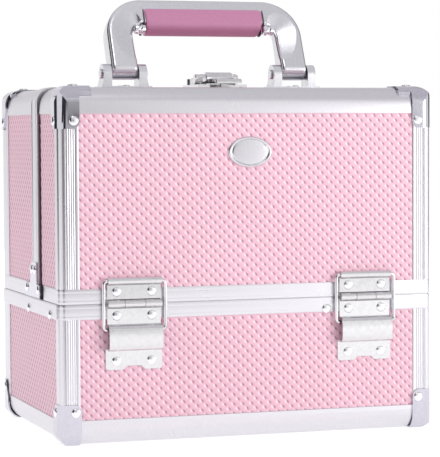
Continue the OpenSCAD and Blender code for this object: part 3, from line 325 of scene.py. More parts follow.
# matt black: painted shade for the hinge gaps, and the lid gap's tongue, partly a black seal and
# partly painted shade
SEAL_AND_SHADE = soft("matt_black_seal_and_painted_shade", (12, 12, 13), (20, 20, 22), 0.8)
GLASS = metal("mirror_glass", (236, 240, 241), (240, 244, 245), 0.02, 90.0)


# ---------------------------------------------------------------- meshes

def stand(piece):
    """Puts an object into the scene."""
    bpy.context.scene.collection.objects.link(piece)


def ready(name, mesh, body, material, nodes=(), crease=SMOOTH_TURN):
    """A finished piece: faces outward, smooth up to the crease angle, riding on its body in place
    of its nodes."""
    bm = bmesh.new()
    bm.from_mesh(mesh)
    bmesh.ops.recalc_face_normals(bm, faces=bm.faces)
    bm.to_mesh(mesh)
    bm.free()
    mesh.polygons.foreach_set("use_smooth", np.ones(len(mesh.polygons), bool))
    mesh.set_sharp_from_angle(angle=math.radians(crease))
    mesh.materials.clear()
    mesh.materials.append(material)
    piece = bpy.data.objects.new(name, mesh)
    stand(piece)
    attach(piece, body)
    if nodes:
        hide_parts(*nodes)
    return piece


def shell(name, points, faces):
    """A mesh in metres from points in millimetres."""
    mesh = bpy.data.meshes.new(name)
    mesh.from_pydata((np.asarray(points, float) / MM).tolist(), [],
                     [tuple(f) for f in faces])
    mesh.update()
    return mesh


def weave(rows, columns, ring):
    """Quads over a grid of points, closed along the columns where ring is set."""
    r, c = np.meshgrid(np.arange(rows - 1), np.arange(columns if ring else columns - 1),
                       indexing="ij")
    n = (c + 1) % columns
    return np.stack([r * columns + c, r * columns + n,
                     (r + 1) * columns + n, (r + 1) * columns + c], -1).reshape(-1, 4)


def spread(sections):
    """Sections with more of them set evenly between two that stand far apart."""
    full = [sections[:1]]
    for near, far in zip(sections[:-1], sections[1:]):
        count = max(math.ceil(np.abs(far - near).max() / LONGEST_SPAN), 1)
        full.append(near + (far - near) * np.linspace(0, 1, count + 1)[1:, None, None])
    return np.concatenate(full)


def loft(name, *bodies):
    """Closed skins, each through sections of equal point count, shaped (stations, points, 3), with
    flat ends."""
    points, faces, start = [], [], 0
    for sections in map(spread, bodies):
        stations, count = sections.shape[:2]
        faces += (weave(stations, count, True) + start).tolist()
        faces.append(list(range(start, start + count)))
        faces.append(list(range(start + (stations - 1) * count, start + stations * count)))
        points.append(sections.reshape(-1, 3))
        start += stations * count
    return shell(name, np.concatenate(points), faces)


def full_turn(count):
    """Angles spaced evenly round a circle."""
    return np.linspace(0, 2 * math.pi, count, endpoint=False)


def eased(piece, width):
    """Rounds a piece's sharp edges by a small radius."""
    bevel = piece.modifiers.new("eased_edges", "BEVEL")
    bevel.width = width / MM
    bevel.segments = EASE_STEPS
    bevel.limit_method = "ANGLE"
    bevel.angle_limit = math.radians(EASE_TURN)
    bevel.harden_normals = True


def merged_copy(node, name, whole_faces):
    """A copy of a node's mesh with its points merged, and its triangles joined into whole faces
    where whole_faces is set."""
    bm = bmesh.new()
    bm.from_mesh(frame["nodes"][node].data)
    bmesh.ops.remove_doubles(bm, verts=bm.verts, dist=MERGE / MM)
    if whole_faces:
        bmesh.ops.dissolve_limit(bm, angle_limit=math.radians(FLAT_TURN), verts=bm.verts,
                                 edges=bm.edges)
    mesh = bpy.data.meshes.new(name)
    bm.to_mesh(mesh)
    bm.free()
    return mesh


def dressed(material, slot, edge, *nodes):
    """A copy of each node's solid in its finish, with its edges eased by edge. Round wires and
    pins, whose edge is 0, are only smoothed."""
    for node in nodes:
        name = node + "_finished"
        piece = ready(name, merged_copy(node, name, True), frame["nodes"][node]["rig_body"],
                      material, [node], SMOOTH_TURN if edge else ROUND_TURN)
        if edge:
            eased(piece, edge)


# ---------------------------------------------------------------- embossed sheets

def dimples(u, v, away, long, wide):
    """A bell curve at every point of a lattice whose rows are shifted by half a pitch, moved to the
    right by away. Each bell is long down its lean and narrow across it."""
    total = np.zeros_like(u)
    for shift in (0.0, 0.5):
        du = u - PATTERN_X - away - shift * SCALE_PITCH
        dv = v - PATTERN_Z - shift * 2 * SCALE_ROW
        du -= SCALE_PITCH * np.round(du / SCALE_PITCH)
        dv -= 2 * SCALE_ROW * np.round(dv / (2 * SCALE_ROW))
        down = du * math.cos(PIT_LEAN) - dv * math.sin(PIT_LEAN)
        across = du * math.sin(PIT_LEAN) + dv * math.cos(PIT_LEAN)
        total += np.exp(-(down / long) ** 2 - (across / wide) ** 2)
    return total


def scale_relief(u, v, pit_wide):
    """Height of the embossing, 0 to 1: a level ground, cut by a leaning pit at every point of the
    lattice, raised to a crest on the left of each pit, and a little lower on the pit's right."""
    pit = dimples(u, v, 0.0, PIT_LONG, pit_wide)
    crest = dimples(u, v, -CREST_AWAY, CREST_LONG, CREST_WIDE)
    tail = dimples(u, v, TAIL_AWAY, PIT_LONG, pit_wide * TAIL_WIDE)
    return np.clip(GROUND - PIT_DEEP * pit + CREST_TALL * crest - TAIL_DEEP * tail, 0, 1)


def embossed_sheet(name, body, faces, fine, pit_wide):
    """Embossed sheets over flat panels. Each face is (origin, along, up, outward, width, height): a
    grid of points over the face, fine to a pitch, lifted outward by the relief, and closed at its
    rim down to the panel."""
    points, quads, heights, start = [], [], [], 0
    for origin, along, up, outward, width, height in faces:
        step_u, step_v = SCALE_PITCH / fine, 2 * SCALE_ROW / fine
        nu, nv = int(width / step_u) + 2, int(height / step_v) + 2
        u = np.minimum(np.arange(nu) * step_u, width)
        v = np.minimum(np.arange(nv) * step_v, height)
        gv, gu = np.meshgrid(v, u, indexing="ij")
        place = origin + gu[..., None] * along + gv[..., None] * up
        anchor_u = place @ np.abs(along)
        anchor_v = place @ np.abs(up)
        relief = scale_relief(anchor_u, anchor_v, pit_wide)
        lifted = place + (SHEET_LIFT + SCALE_RISE * relief)[..., None] * outward
        rim = np.concatenate([np.arange(nu), np.arange(1, nv) * nu + nu - 1,
                              (nv - 1) * nu + np.arange(nu - 2, -1, -1),
                              np.arange(nv - 2, 0, -1) * nu])
        flat = (place.reshape(-1, 3) - SHEET_TUCK * outward)[rim]
        count = nu * nv
        points += [lifted.reshape(-1, 3), flat]
        # the heights also set the sheet's colour: painted shade low, painted highlight high; the
        # rim, at 0, takes the darkest painted shade
        heights += [relief.ravel(), np.zeros(len(rim))]
        quads += (weave(nv, nu, False) + start).tolist()
        low = np.arange(len(rim)) + count + start
        high = rim + start
        quads += np.stack([high, np.roll(high, -1), np.roll(low, -1), low], -1).tolist()
        quads.append(low.tolist())
        start += count + len(rim)
    mesh = shell(name, np.concatenate(points), quads)
    attribute = mesh.attributes.new("scale_height", "FLOAT", "POINT")
    attribute.data.foreach_set("value", np.concatenate(heights).astype(np.float32))
    ready(name, mesh, body, PINK, crease=80.0)


def cover(name, node, body, side, fine):
    """The embossed sheet over one panel node. side names the face: front, back, sides or top."""
    low, high = reach(node)
    x, y, z = np.eye(3)
    wide, deep, tall = high - low
    if side == "front":
        faces = [(low, x, z, -y, wide, tall)]
    elif side == "back":
        faces = [(np.array([high[0], high[1], low[2]]), -x, z, y, wide, tall)]
    elif side == "top":
        faces = [(np.array([low[0], low[1], high[2]]), x, y, z, wide, deep)]
    else:
        faces = [(np.array([low[0], high[1], low[2]]), -y, z, -x, deep, tall),
                 (np.array([high[0], low[1], low[2]]), y, z, x, deep, tall)]
    board = frame["nodes"][node].data.materials
    board.clear()
    board.append(PANEL_EDGE)
    pit_wide = SIDE_PIT_WIDE if side == "sides" else PIT_WIDE
    embossed_sheet(name, body, faces, fine, pit_wide)


for panel, body, side in (("base_front", "base", "front"), ("base_back", "base", "back"),
                          ("base_side", "base", "sides"),
                          ("front_lid_front", "front_lid", "front"),
                          ("front_lid_top", "front_lid", "top"),
                          ("front_lid_side", "front_lid", "sides"),
                          ("rear_lid_back", "rear_lid", "back"),
                          ("rear_lid_top", "rear_lid", "top"),
                          ("rear_lid_side", "rear_lid", "sides")):
    many = "s" if side == "sides" else ""
    cover(panel + "_sheet" + many, panel + "_panel" + many, body, side,
          12 if side == "front" else 10)


# ---------------------------------------------------------------- bars round the case

def turned_edge(low, high):
    """The outer side of a bar that turns over a level edge, as inset and height, from its free end
    at low to its top at high: a face that leans back as a parabola, then an arc that goes on from
    that lean."""
    rise = np.linspace(0, 1, 10)
    face_top = high - LEVEL_ROUND
    face = np.stack([CROWN * rise ** 2, low + rise * (face_top - low)], -1)
    lean = math.atan(2 * CROWN / (face_top - low))
    radius = LEVEL_ROUND / (1 - math.sin(lean))
    turn = np.linspace(lean, math.pi / 2, 18)[1:]
    edge = np.stack([CROWN + radius * (math.cos(lean) - np.cos(turn)),
                     face_top + radius * (np.sin(turn) - math.sin(lean))], -1)
    return np.concatenate([face, edge])


def top_bar_profile():
    """The section of a top bar: its turned outer side, a fine lip along the top, and the inner
    side."""
    lip = [[TOP_REACH - 2.9, CASE_TOP], [TOP_REACH - 2.7, CASE_TOP - 0.3],
           [TOP_REACH - 2.1, CASE_TOP - 0.3], [TOP_REACH - 1.9, CASE_TOP],
           [TOP_REACH - 0.4, CASE_TOP - 0.05], [TOP_REACH, CASE_TOP - 0.5]]
    inner = [[TOP_REACH, CASE_TOP - BAR_WALL], [BAR_WALL, CASE_TOP - BAR_WALL],
             [BAR_WALL, TOP_BAR_LOW]]
    return np.concatenate([turned_edge(TOP_BAR_LOW, CASE_TOP), lip, inner])


def bottom_bar_profile():
    """The section of a bottom bar, a top bar upside down with one shallow groove by the panel."""
    side = turned_edge(0, BOTTOM_BAR_TOP) * [1, -1] + [0, BOTTOM_BAR_TOP]
    lip = [[0.3, BOTTOM_BAR_TOP], [0.0, BOTTOM_BAR_TOP - 0.3]] + groove(BOTTOM_BAR_TOP - 2.4)[::-1]
    inner = [[BOTTOM_REACH, 0], [BOTTOM_REACH, BAR_WALL], [BAR_WALL, BAR_WALL],
             [BAR_WALL, BOTTOM_BAR_TOP]]
    return np.concatenate([lip, side[2:], inner])


def groove(z):
    """A shallow round groove across a bar's face at height z, as inset and height."""
    return [[0.0, z - 0.45], [BAR_GROOVE * 0.7, z - 0.2], [BAR_GROOVE, z],
            [BAR_GROOVE * 0.7, z + 0.2], [0.0, z + 0.45]]


def rim_bar_profile(low, high, tongue=0.0):
    """The section of a rim bar: a flat face with eased edges and a shallow groove near each edge.
    tongue is the rise of the step along its top that part closes the seam to the lid."""
    face = ([[0.15, low], [0.04, low + 0.04], [0.0, low + 0.15]] + groove(low + 2.4)
            + groove(high - 2.4) + [[0.0, high - 0.15], [0.04, high - 0.04], [0.15, high]])
    step = [[0.7, high], [0.75, high + tongue], [5.2, high + tongue], [5.25, high]]
    return np.array(face + (step if tongue else []) + [[BAR_WALL, high], [BAR_WALL, low]])


def round_corner(profile, flip, proud=0.0):
    """A section carried round the right front corner of the case (flip -1) or the right rear one
    (1), from the side to the front or back. Past the upright edge's radius it runs square. proud
    moves the side's part out, with a short slope."""
    inset, z = profile[:, 0], profile[:, 1]
    radius = np.maximum(EDGE_ROUND - inset, 0)
    past = np.maximum(inset - EDGE_ROUND, 0)
    sections = []
    if proud:
        for y, out in ((HALF_D - EDGE_ROUND - 0.6, proud), (HALF_D - EDGE_ROUND - 0.4, 0.0)):
            sections.append(np.stack([HALF_W + out - inset, np.full(len(z), flip * y), z], -1))
    for turn, before, after in ([(0.0, EDGE_FLAT, 0.0)]
                                + [(t, 0.0, 0.0) for t in np.linspace(0, math.pi / 2, 12)]
                                + [(math.pi / 2, 0.0, EDGE_FLAT)]):
        x = HALF_W - EDGE_ROUND - past + radius * math.cos(turn) - after
        y = flip * (HALF_D - EDGE_ROUND - past + radius * math.sin(turn) - before)
        sections.append(np.stack([x, y, z], -1))
    return np.array(sections)


def side_station(profile, y):
    """A section standing square on the right side at y."""
    return np.stack([HALF_W - profile[:, 0], np.full(len(profile), y), profile[:, 1]], -1)


def bar_round_lid(name, node, body, profile, starts, flip):
    """A bar round three sides of a lid: along one side, across, and back along the other side.
    starts are the (section, y) pairs of the free end."""
    right = np.concatenate([[side_station(section, y) for section, y in starts],
                            round_corner(profile, flip)])
    ready(name, loft(name, np.concatenate([right, right[::-1] * MIRROR_X])), body, BAR,
          [node], 24.0)


def bar_round_base(name, node, profile, proud=0.0):
    """A bar round all four sides of the base, closed on itself."""
    front, back = round_corner(profile, -1, proud), round_corner(profile, 1, proud)
    loop = spread(np.concatenate([front, front[::-1] * MIRROR_X, back * MIRROR_X, back[::-1],
                                  front[:1]]))[:-1]
    stations, count = loop.shape[:2]
    faces = weave(stations + 1, count, True) % (stations * count)
    ready(name, shell(name, loop.reshape(-1, 3), faces.tolist()), "base", BAR,
          [node], 24.0)


def stepped_end(profile):
    """The top bar's section where its inner side is cut back for the step along the lid gap."""
    step = profile.copy()
    step[-3] = [TOP_REACH, CASE_TOP - RABBET_WALL]
    step[-2] = [RABBET_WALL, CASE_TOP - RABBET_WALL]
    step[-1] = [RABBET_WALL, TOP_BAR_LOW]
    return step


TOP_PROFILE = top_bar_profile()
bar_round_lid("front_lid_top_bar", "front_lid_top_bars", "front_lid", TOP_PROFILE,
              [(stepped_end(TOP_PROFILE), FRONT_LID_END),
               (stepped_end(TOP_PROFILE), FRONT_LID_END - RABBET),
               (TOP_PROFILE, FRONT_LID_END - RABBET)], -1)
bar_round_lid("rear_lid_top_bar", "rear_lid_top_bars", "rear_lid", TOP_PROFILE,
              [(TOP_PROFILE, REAR_BAR_START)], 1)
for lid, flip in (("front_lid", -1), ("rear_lid", 1)):
    low, high = reach(lid + "_rim_bars")
    bar_round_lid(lid + "_rim_bar", lid + "_rim_bars", lid, rim_bar_profile(low[2], high[2]),
                  [(rim_bar_profile(low[2], high[2]), high[1] if flip < 0 else low[1])], flip)
low, high = reach("base_rim_bars")
seam = reach("front_lid_rim_bars")[0][2] - high[2]
bar_round_base("base_rim_bar", "base_rim_bars",
               rim_bar_profile(low[2], high[2], seam * SEAM_FILL), high[0] - HALF_W)
bar_round_base("base_bottom_bar", "base_bottom_bars", bottom_bar_profile())


# ---------------------------------------------------------------- corner posts

def post_profile(face, side):
    """The section of a corner post, inset from the side and inset from the face it shows: a smooth
    lip by the panel, four flutes as a cosine wave, a raised line, the round corner, and the
    side."""
    lip = [[face, 1.3], [face, 0.3], [face - 0.35, 0.05], [face - 0.8, 0.0], [face - 1.7, 0.0],
           [face - 2.1, 0.1], [face - 2.25, 0.5]]
    wave = np.linspace(0, FLUTES * 2 * math.pi, FLUTES * 8 + 1)
    start, stop = face - 2.35, FLUTE_END
    flutes = np.stack([start + (stop - start) * wave / wave[-1],
                       FLUTE_INSET + FLUTE_DEEP * np.cos(wave)], -1)
    line = [[FLUTE_END - 0.15, 0.5], [FLUTE_END - 0.3, 0.08], [FLUTE_END - 0.6, 0.02],
            [FLUTE_END - 1.1, 0.06], [FLUTE_END - 1.3, 0.5]]
    first = math.asin((EDGE_ROUND - FLUTE_END + LINE_WIDE) / EDGE_ROUND)
    turn = np.linspace(first, math.pi / 2, 10)
    corner = EDGE_ROUND - EDGE_ROUND * np.stack([np.sin(turn), np.cos(turn)], -1)
    back = [[0, side - 2.8], [0.15, side - 2.6], [0.15, side - 2.2], [0, side - 2.0],
            [0, side - 0.3], [0.3, side], [1.3, side], [BAR_WALL, side], [BAR_WALL, BAR_WALL],
            [face, BAR_WALL]]
    return np.concatenate([lip, flutes, line, corner, back])


def post_skins(end, side, low, high):
    """A post on the right from its foot to its top, and its mirror image on the left. end is -1 at
    the front and 1 at the back."""
    profile = post_profile(POST_FACE, side)
    right = np.array([np.stack([HALF_W - profile[:, 0], end * (HALF_D - profile[:, 1]),
                                np.full(len(profile), z)], -1) for z in (low, high)])
    return [right, right * MIRROR_X]


def posts(name, node, body, ends):
    """The fluted posts of one node. ends are the (end, width of the side) pairs."""
    low, high = reach(node)
    skins = []
    for end, side in ends:
        skins += post_skins(end, side, low[2], high[2])
    ready(name, loft(name, *skins), body, BAR, [node], 30.0)


posts("base_posts", "base_corner_posts", "base", [(-1, FRONT_POST_SIDE), (1, REAR_POST_SIDE)])
posts("front_lid_fluted_posts", "front_lid_posts", "front_lid", [(-1, FRONT_POST_SIDE)])
posts("rear_lid_fluted_posts", "rear_lid_posts", "rear_lid", [(1, REAR_POST_SIDE)])


# ---------------------------------------------------------------- handle

def stand_handle(points):
    """Points in the handle's own plane, as x, depth and height over the pivot, leant back to their
    place."""
    x, y, z = points[..., 0], points[..., 1], points[..., 2]
    c, s = math.cos(HANDLE_LEAN), math.sin(HANDLE_LEAN)
    return np.stack([x, HANDLE_PIVOT[1] + y * c + z * s, HANDLE_PIVOT[2] - y * s + z * c], -1)


def leg_section(facet, drop, half_thick):
    """A rounded bar section as across (0 inner to the leg's width) and depth. The front and back
    faces fall by drop from the facet's line to the inner edge, so the line is a crease."""
    r = min(LEG_EDGE, half_thick * 0.8)
    w, h = HANDLE_LEG, half_thick
    turn = np.linspace(0, math.pi / 2, 16)
    inner = np.stack([r - r * np.cos(turn), -(h - drop) + r - r * np.sin(turn)], -1)
    facet_line = np.linspace(r, facet, 6)[1:]
    slope = np.stack([facet_line, -(h - drop * (facet - facet_line) / max(facet - r, 0.1))], -1)
    flat = np.stack([np.linspace(facet, w - r, 6)[1:], np.full(5, -h)], -1)
    outer = np.stack([w - r + r * np.sin(turn[1:]), -h + r - r * np.cos(turn[1:])], -1)
    half = np.concatenate([inner, slope, flat, outer])
    return np.concatenate([half, half[::-1] * [1, -1]])


def handle_frame():
    """The handle's section carried up a leg, round the bend, across and down the other leg. The
    crescent facet's line swings out from the inner edge and back as half an ellipse along the
    leg."""
    leg_top = HANDLE_TALL - HANDLE_BEND
    bend_length = HANDLE_BEND * math.pi / 2
    sections = []
    foot = (LEG_END + LEG_ROUND) * (1 - np.cos(np.linspace(0, math.pi / 2, 16))) - LEG_END
    heights = np.concatenate([foot, np.linspace(LEG_ROUND + 1.5, leg_top, 14)])
    turns = np.linspace(0, math.pi / 2, 26)[1:]

    def station(inner, outer, run):
        facet_end = leg_top + bend_length * FACET_BEND
        low = (run - FACET_START) / (facet_end - FACET_START) * 2 - 1
        swell = math.sqrt(max(1 - low * low, 0))
        under = max((LEG_ROUND - run) / (LEG_ROUND + LEG_END), 0)
        thick = HANDLE_THICK / 2 * math.sqrt(max(1 - under * under, 0.004))
        section = leg_section(FACET_LEAST + FACET_SWELL * swell, FACET_DROP * swell, thick)
        across = section[:, 0] / HANDLE_LEG
        point = inner[None, :] + (outer - inner)[None, :] * across[:, None]
        sections.append(np.stack([point[:, 0], section[:, 1], point[:, 1]], -1))

    for z in heights:
        station(np.array([HANDLE_HALF - HANDLE_LEG, z]), np.array([HANDLE_HALF, z]), z)
    centre = np.array([HANDLE_HALF - HANDLE_BEND, leg_top])
    for turn in turns:
        way = np.array([math.cos(turn), math.sin(turn)])
        station(centre + way * (HANDLE_BEND - HANDLE_LEG), centre + way * HANDLE_BEND,
                leg_top + turn * HANDLE_BEND)
    right = np.array(sections)
    mesh = loft("handle_frame_cast",
                stand_handle(np.concatenate([right, right[::-1] * MIRROR_X])))
    ready("handle_frame_cast", mesh, "handle", CAST, ["handle_frame"], 8.5)


def grip_oval():
    """The grip's section, a superellipse, as depth and height round its middle, and that middle's
    height over the pivot."""
    around = full_turn(48)
    power = 2 / GRIP_SQUARE
    depth = np.sign(np.cos(around)) * np.abs(np.cos(around)) ** power * GRIP_THICK / 2
    height = np.sign(np.sin(around)) * np.abs(np.sin(around)) ** power * GRIP_TALL / 2
    return depth, height, HANDLE_TALL - GRIP_BAND - GRIP_TALL / 2


def handle_grip():
    """The grip: a rounded block along x whose section is a superellipse with flat cheeks, drawn in
    a little at both ends, which lean a little."""
    y, z, middle = grip_oval()
    sections = []
    for x, share in [(0, .86), (0.35, .93), (1.0, .975), (2.2, 1), (12, 1), (GRIP_HALF, 1.0)]:
        place = GRIP_HALF - x
        slant = GRIP_SLANT * (z / GRIP_TALL - 0.5) * place / GRIP_HALF
        sections.append(np.stack([place + slant, y * share, middle + z * share], -1))
    right = np.array(sections)
    mesh = loft("handle_grip_soft",
                stand_handle(np.concatenate([right, right[-2::-1] * MIRROR_X])))
    ready("handle_grip_soft", mesh, "handle", GRIP, ["handle_grip"], 40.0)


def at_both_ends(name, stations, material):
    """A piece at the grip's right end and its mirror image at the left end."""
    right = stand_handle(np.array(stations))
    ready(name, loft(name, right, right * MIRROR_X), "handle", material, (), 50.0)


def grip_clips():
    """The two bright clips between the legs and the grip's ends: short round studs along x, each a
    circle carried through a few widths, with a waist in the middle."""
    z = HANDLE_TALL - GRIP_BAND - GRIP_TALL * CLIP_LOW
    turn = full_turn(28)
    stations = []
    for share, radius in [(0, 2.6), (0.05, 3.3), (0.3, 3.6), (0.36, 3.0), (0.5, 2.8), (0.64, 3.0),
                          (0.7, 3.6), (0.95, 3.3), (1, 2.6)]:
        x = GRIP_HALF - CLIP_TUCK + share * CLIP_LONG
        stations.append(np.stack([np.full(28, x), -CLIP_FORWARD + radius * np.cos(turn),
                                  z + radius * np.sin(turn)], -1))
    at_both_ends("grip_clips", stations, RIVET)


def grip_end_shade_rings():
    """A thin dark ring of painted shade round both ends of the grip: its superellipse carried along
    x over a short stretch."""
    y, z, middle = grip_oval()
    stations = []
    for past_end, share in [(-0.25, 0.9), (-0.2, 0.99), (0.35, 0.99), (0.4, 0.9)]:
        stations.append(np.stack([np.full(48, GRIP_HALF + past_end), y * share,
                                  middle + z * share], -1))
    at_both_ends("grip_end_shade_rings", stations, GRIP_END_SHADE)


handle_frame()
handle_grip()
grip_clips()
grip_end_shade_rings()


# ---------------------------------------------------------------- badge

def badge_plate():
    """An oval plate as rings round its middle: a low dome, a fine groove, then a rolled rim that
    falls to the panel. Each ring is the oval scaled by its share."""
    low, high = reach("badge")
    centre, half = (low + high) / 2, (high - low) / 2
    thick = high[1] - low[1]
    share = np.array([0.02, .2, .4, .6, .74, .8, .815, .84, .855, .875, .91, .95, .98, 1.0, 1.0])
    rise = thick * np.array([.9, .895, .875, .83, .78, .75, .6, .6, .75, .93, 1.0, .98, .84, .6,
                             -.05])
    around = full_turn(96)
    x = centre[0] + share[:, None] * half[0] * np.cos(around)
    z = centre[2] + share[:, None] * half[2] * np.sin(around)
    y = np.broadcast_to((high[1] - rise)[:, None], x.shape)
    mesh = loft("oval_badge", np.stack([x, y, z], -1))
    ready("oval_badge", mesh, "front_lid", BADGE, ["badge"], 50.0)


badge_plate()


# ---------------------------------------------------------------- rivets

def solid_boxes(node):
    """The box of each separate solid of a node, in millimetres. Every point starts with a number of
    its own and takes the lowest one along its edges until none changes."""
    mesh = merged_copy(node, node + "_merged", False)
    points = np.empty(len(mesh.vertices) * 3, np.float32)
    mesh.vertices.foreach_get("co", points)
    edges = np.empty(len(mesh.edges) * 2, np.int32)
    mesh.edges.foreach_get("vertices", edges)
    bpy.data.meshes.remove(mesh)
    points, (near, far) = points.reshape(-1, 3).astype(float) * MM, edges.reshape(-1, 2).T
    number, before = np.arange(len(points)), None
    while before is None or (number != before).any():
        before = number.copy()
        lowest = np.minimum(number[near], number[far])
        np.minimum.at(number, near, lowest)
        np.minimum.at(number, far, lowest)
    solids = [points[number == first] for first in np.unique(number)]
    return [(solid.min(0), solid.max(0)) for solid in solids]


def rivet_heads(node, body):
    """Round heads at the places of a node's rivets: half a squashed ball on a short straight rim,
    with its middle on the box of each separate solid and its flat side on the metal."""
    rise = np.array([0.0, 0.35, 0.55, 0.72, 0.86, 0.95, 0.995])
    share = np.array([1.0, 0.99, 0.93, 0.8, 0.6, 0.36, 0.06])[:, None]
    turn = full_turn(24)
    heads = []
    for low, high in solid_boxes(node):
        size, middle = high - low, (low + high) / 2
        axis = int(np.argmin(size))
        out = np.sign(middle[axis]) or 1
        wide = [i for i in range(3) if i != axis]
        radius = size[wide].max() / 2 * RIVET_GROW
        head = np.empty((len(rise), len(turn), 3))
        head[..., axis] = ((low if out > 0 else high)[axis] + out * rise * size[axis])[:, None]
        head[..., wide[0]] = middle[wide[0]] + radius * share * np.cos(turn)
        head[..., wide[1]] = middle[wide[1]] + radius * share * np.sin(turn)
        heads.append(head)
    name = node + "_heads"
    ready(name, loft(name, *heads), body, RIVET, [node], 50.0)


# ---------------------------------------------------------------- guard hems

def guard_hems(name, body, flip):
    """The hem under each top guard's tongues, where the sheet folds on to the bar's turned edge: an
    arc in the guard's own radius that falls smoothly to the bar, carried along the tongue."""
    angle = np.linspace(HEM_START, HEM_END, 18)
    fall = np.clip((HEM_TOP - angle) / (HEM_TOP - HEM_END), 0, 1)
    fall = fall * fall * (3 - 2 * fall)
    outer = LEVEL_ROUND + GUARD_SHEET - HEM_UNDER - fall * (GUARD_SHEET + HEM_SINK)
    radius = np.concatenate([outer, np.full(18, LEVEL_ROUND - HEM_WALL)])
    angle = np.radians(np.concatenate([angle, angle[::-1]]))
    inset = LEVEL_ROUND - radius * np.cos(angle)
    z = CASE_TOP - LEVEL_ROUND + radius * np.sin(angle)
    across = np.array([np.stack([np.full(36, HALF_W - x), flip * (HALF_D - inset), z], -1)
                       for x in (GUARD_TOP, GUARD_FACE - HEM_TUCK)])
    along = np.array([np.stack([HALF_W - inset, np.full(36, flip * (HALF_D - y)), z], -1)
                      for y in (GUARD_TOP, GUARD_SIDE - HEM_TUCK)])
    ready(name, loft(name, across, along, across * MIRROR_X, along * MIRROR_X), body, CHROME)


guard_hems("front_guard_hems", "front_lid", -1)
guard_hems("rear_guard_hems", "rear_lid", 1)


# ---------------------------------------------------------------- painted shade in the hinge joints

def painted_gap_shade(name, body, end, heights):
    """Painted shade in the gaps between a hinge's folded parts: dark flat strips along x just over
    the sheet, each a rectangle with its long edges cut, at both hinges."""
    face, high, out = HALF_D + HINGE_SHEET, JOINT_HALF, JOINT_PROUD
    section = np.array([[-JOINT_ROOT, -high], [out - 0.04, -high], [out, -high + 0.06],
                        [out, high - 0.06], [out - 0.04, high], [-JOINT_ROOT, high]])
    skins = []
    for middle in (-HINGE_X, HINGE_X):
        for z in heights:
            skins.append(np.array([np.stack([np.full(6, middle + side * HINGE_HALF),
                                             end * (face + section[:, 0]), z + section[:, 1]], -1)
                                   for side in (-1, 1)]))
    ready(name, loft(name, *skins), body, SEAL_AND_SHADE)


painted_gap_shade("front_lid_painted_gap_shade", "front_lid", -1, (LEAF_LOW - JOINT_GAP_DOWN, LEAF_CURL_LOW))
painted_gap_shade("front_base_painted_gap_shade", "base", -1, (STRAP_TOP + JOINT_GAP_UP,))
painted_gap_shade("rear_lid_painted_gap_shade", "rear_lid", 1, (LEAF_LOW - JOINT_GAP_DOWN, LEAF_CURL_LOW))
painted_gap_shade("rear_base_painted_gap_shade", "base", 1, (STRAP_TOP + JOINT_GAP_UP,))


# ---------------------------------------------------------------- lock

def hasp_section():
    """The hasp from its side, as y and z: round the barrel from below and over the top, its radius
    rippling as a cosine wave, along the plate to the tip, which turns down by an arc, and back."""
    roll = np.radians(np.linspace(*HASP_WRAP, 60))
    hollow = HASP_ROLL - HASP_RIPPLE * (1 - np.cos(HASP_BANDS * roll))
    barrel = HASP_PIVOT + hollow[:, None] * np.stack([-np.cos(roll), np.sin(roll)], -1)
    bend = np.array([HASP_TIP[0] + HASP_CURL, HASP_TIP[1]])
    curl = np.radians(np.linspace(90, HASP_TURN, 12))
    around = np.stack([np.cos(curl), np.sin(curl)], -1)
    top = bend + HASP_CURL * around
    under = bend + (HASP_CURL - HASP_SHEET) * around[::-1]
    return np.concatenate([barrel, top, under])


def rolled_hasp():
    """The hasp's section carried along x, a little smaller at both ends."""
    section = hasp_section()
    middle = section.mean(0)
    stations = []
    for x, share in [(-HASP_HALF, 0.95), (-HASP_HALF + 0.4, 1.0), (HASP_HALF - 0.4, 1.0),
                     (HASP_HALF, 0.95)]:
        flat = middle + (section - middle) * share
        stations.append(np.stack([np.full(len(flat), x), flat[:, 0], flat[:, 1]], -1))
    ready("rolled_hasp", loft("rolled_hasp", np.array(stations)), "hasp", NICKEL,
          ["hasp"], 30.0)


def knurled_barrel():
    """The short barrel at the hasp's left: a circle along x whose radius ripples as a cosine wave
    round it, with plain collars at its ends."""
    turn = full_turn(KNURLS * 6)
    stations = []
    for share, ripple, grow in [(0, 0, 0.86), (0.05, 0, 1.0), (0.2, 0, 1.0), (0.24, 1, 0.95),
                                (0.76, 1, 0.95), (0.8, 0, 1.0), (0.95, 0, 1.0), (1, 0, 0.86)]:
        radius = KNURL_RADIUS * grow * (1 + ripple * KNURL_RIPPLE * np.cos(KNURLS * turn))
        x = KNURL_LEFT + share * KNURL_LONG
        stations.append(np.stack([np.full(len(turn), x), HASP_PIVOT[0] + radius * np.cos(turn),
                                  HASP_PIVOT[1] - KNURL_DROP + radius * np.sin(turn)], -1))
    ready("knurled_barrel", loft("knurled_barrel", np.array(stations)), "rear_lid", NICKEL,
          (), 30.0)


rolled_hasp()
knurled_barrel()


# ---------------------------------------------------------------- dressed solids

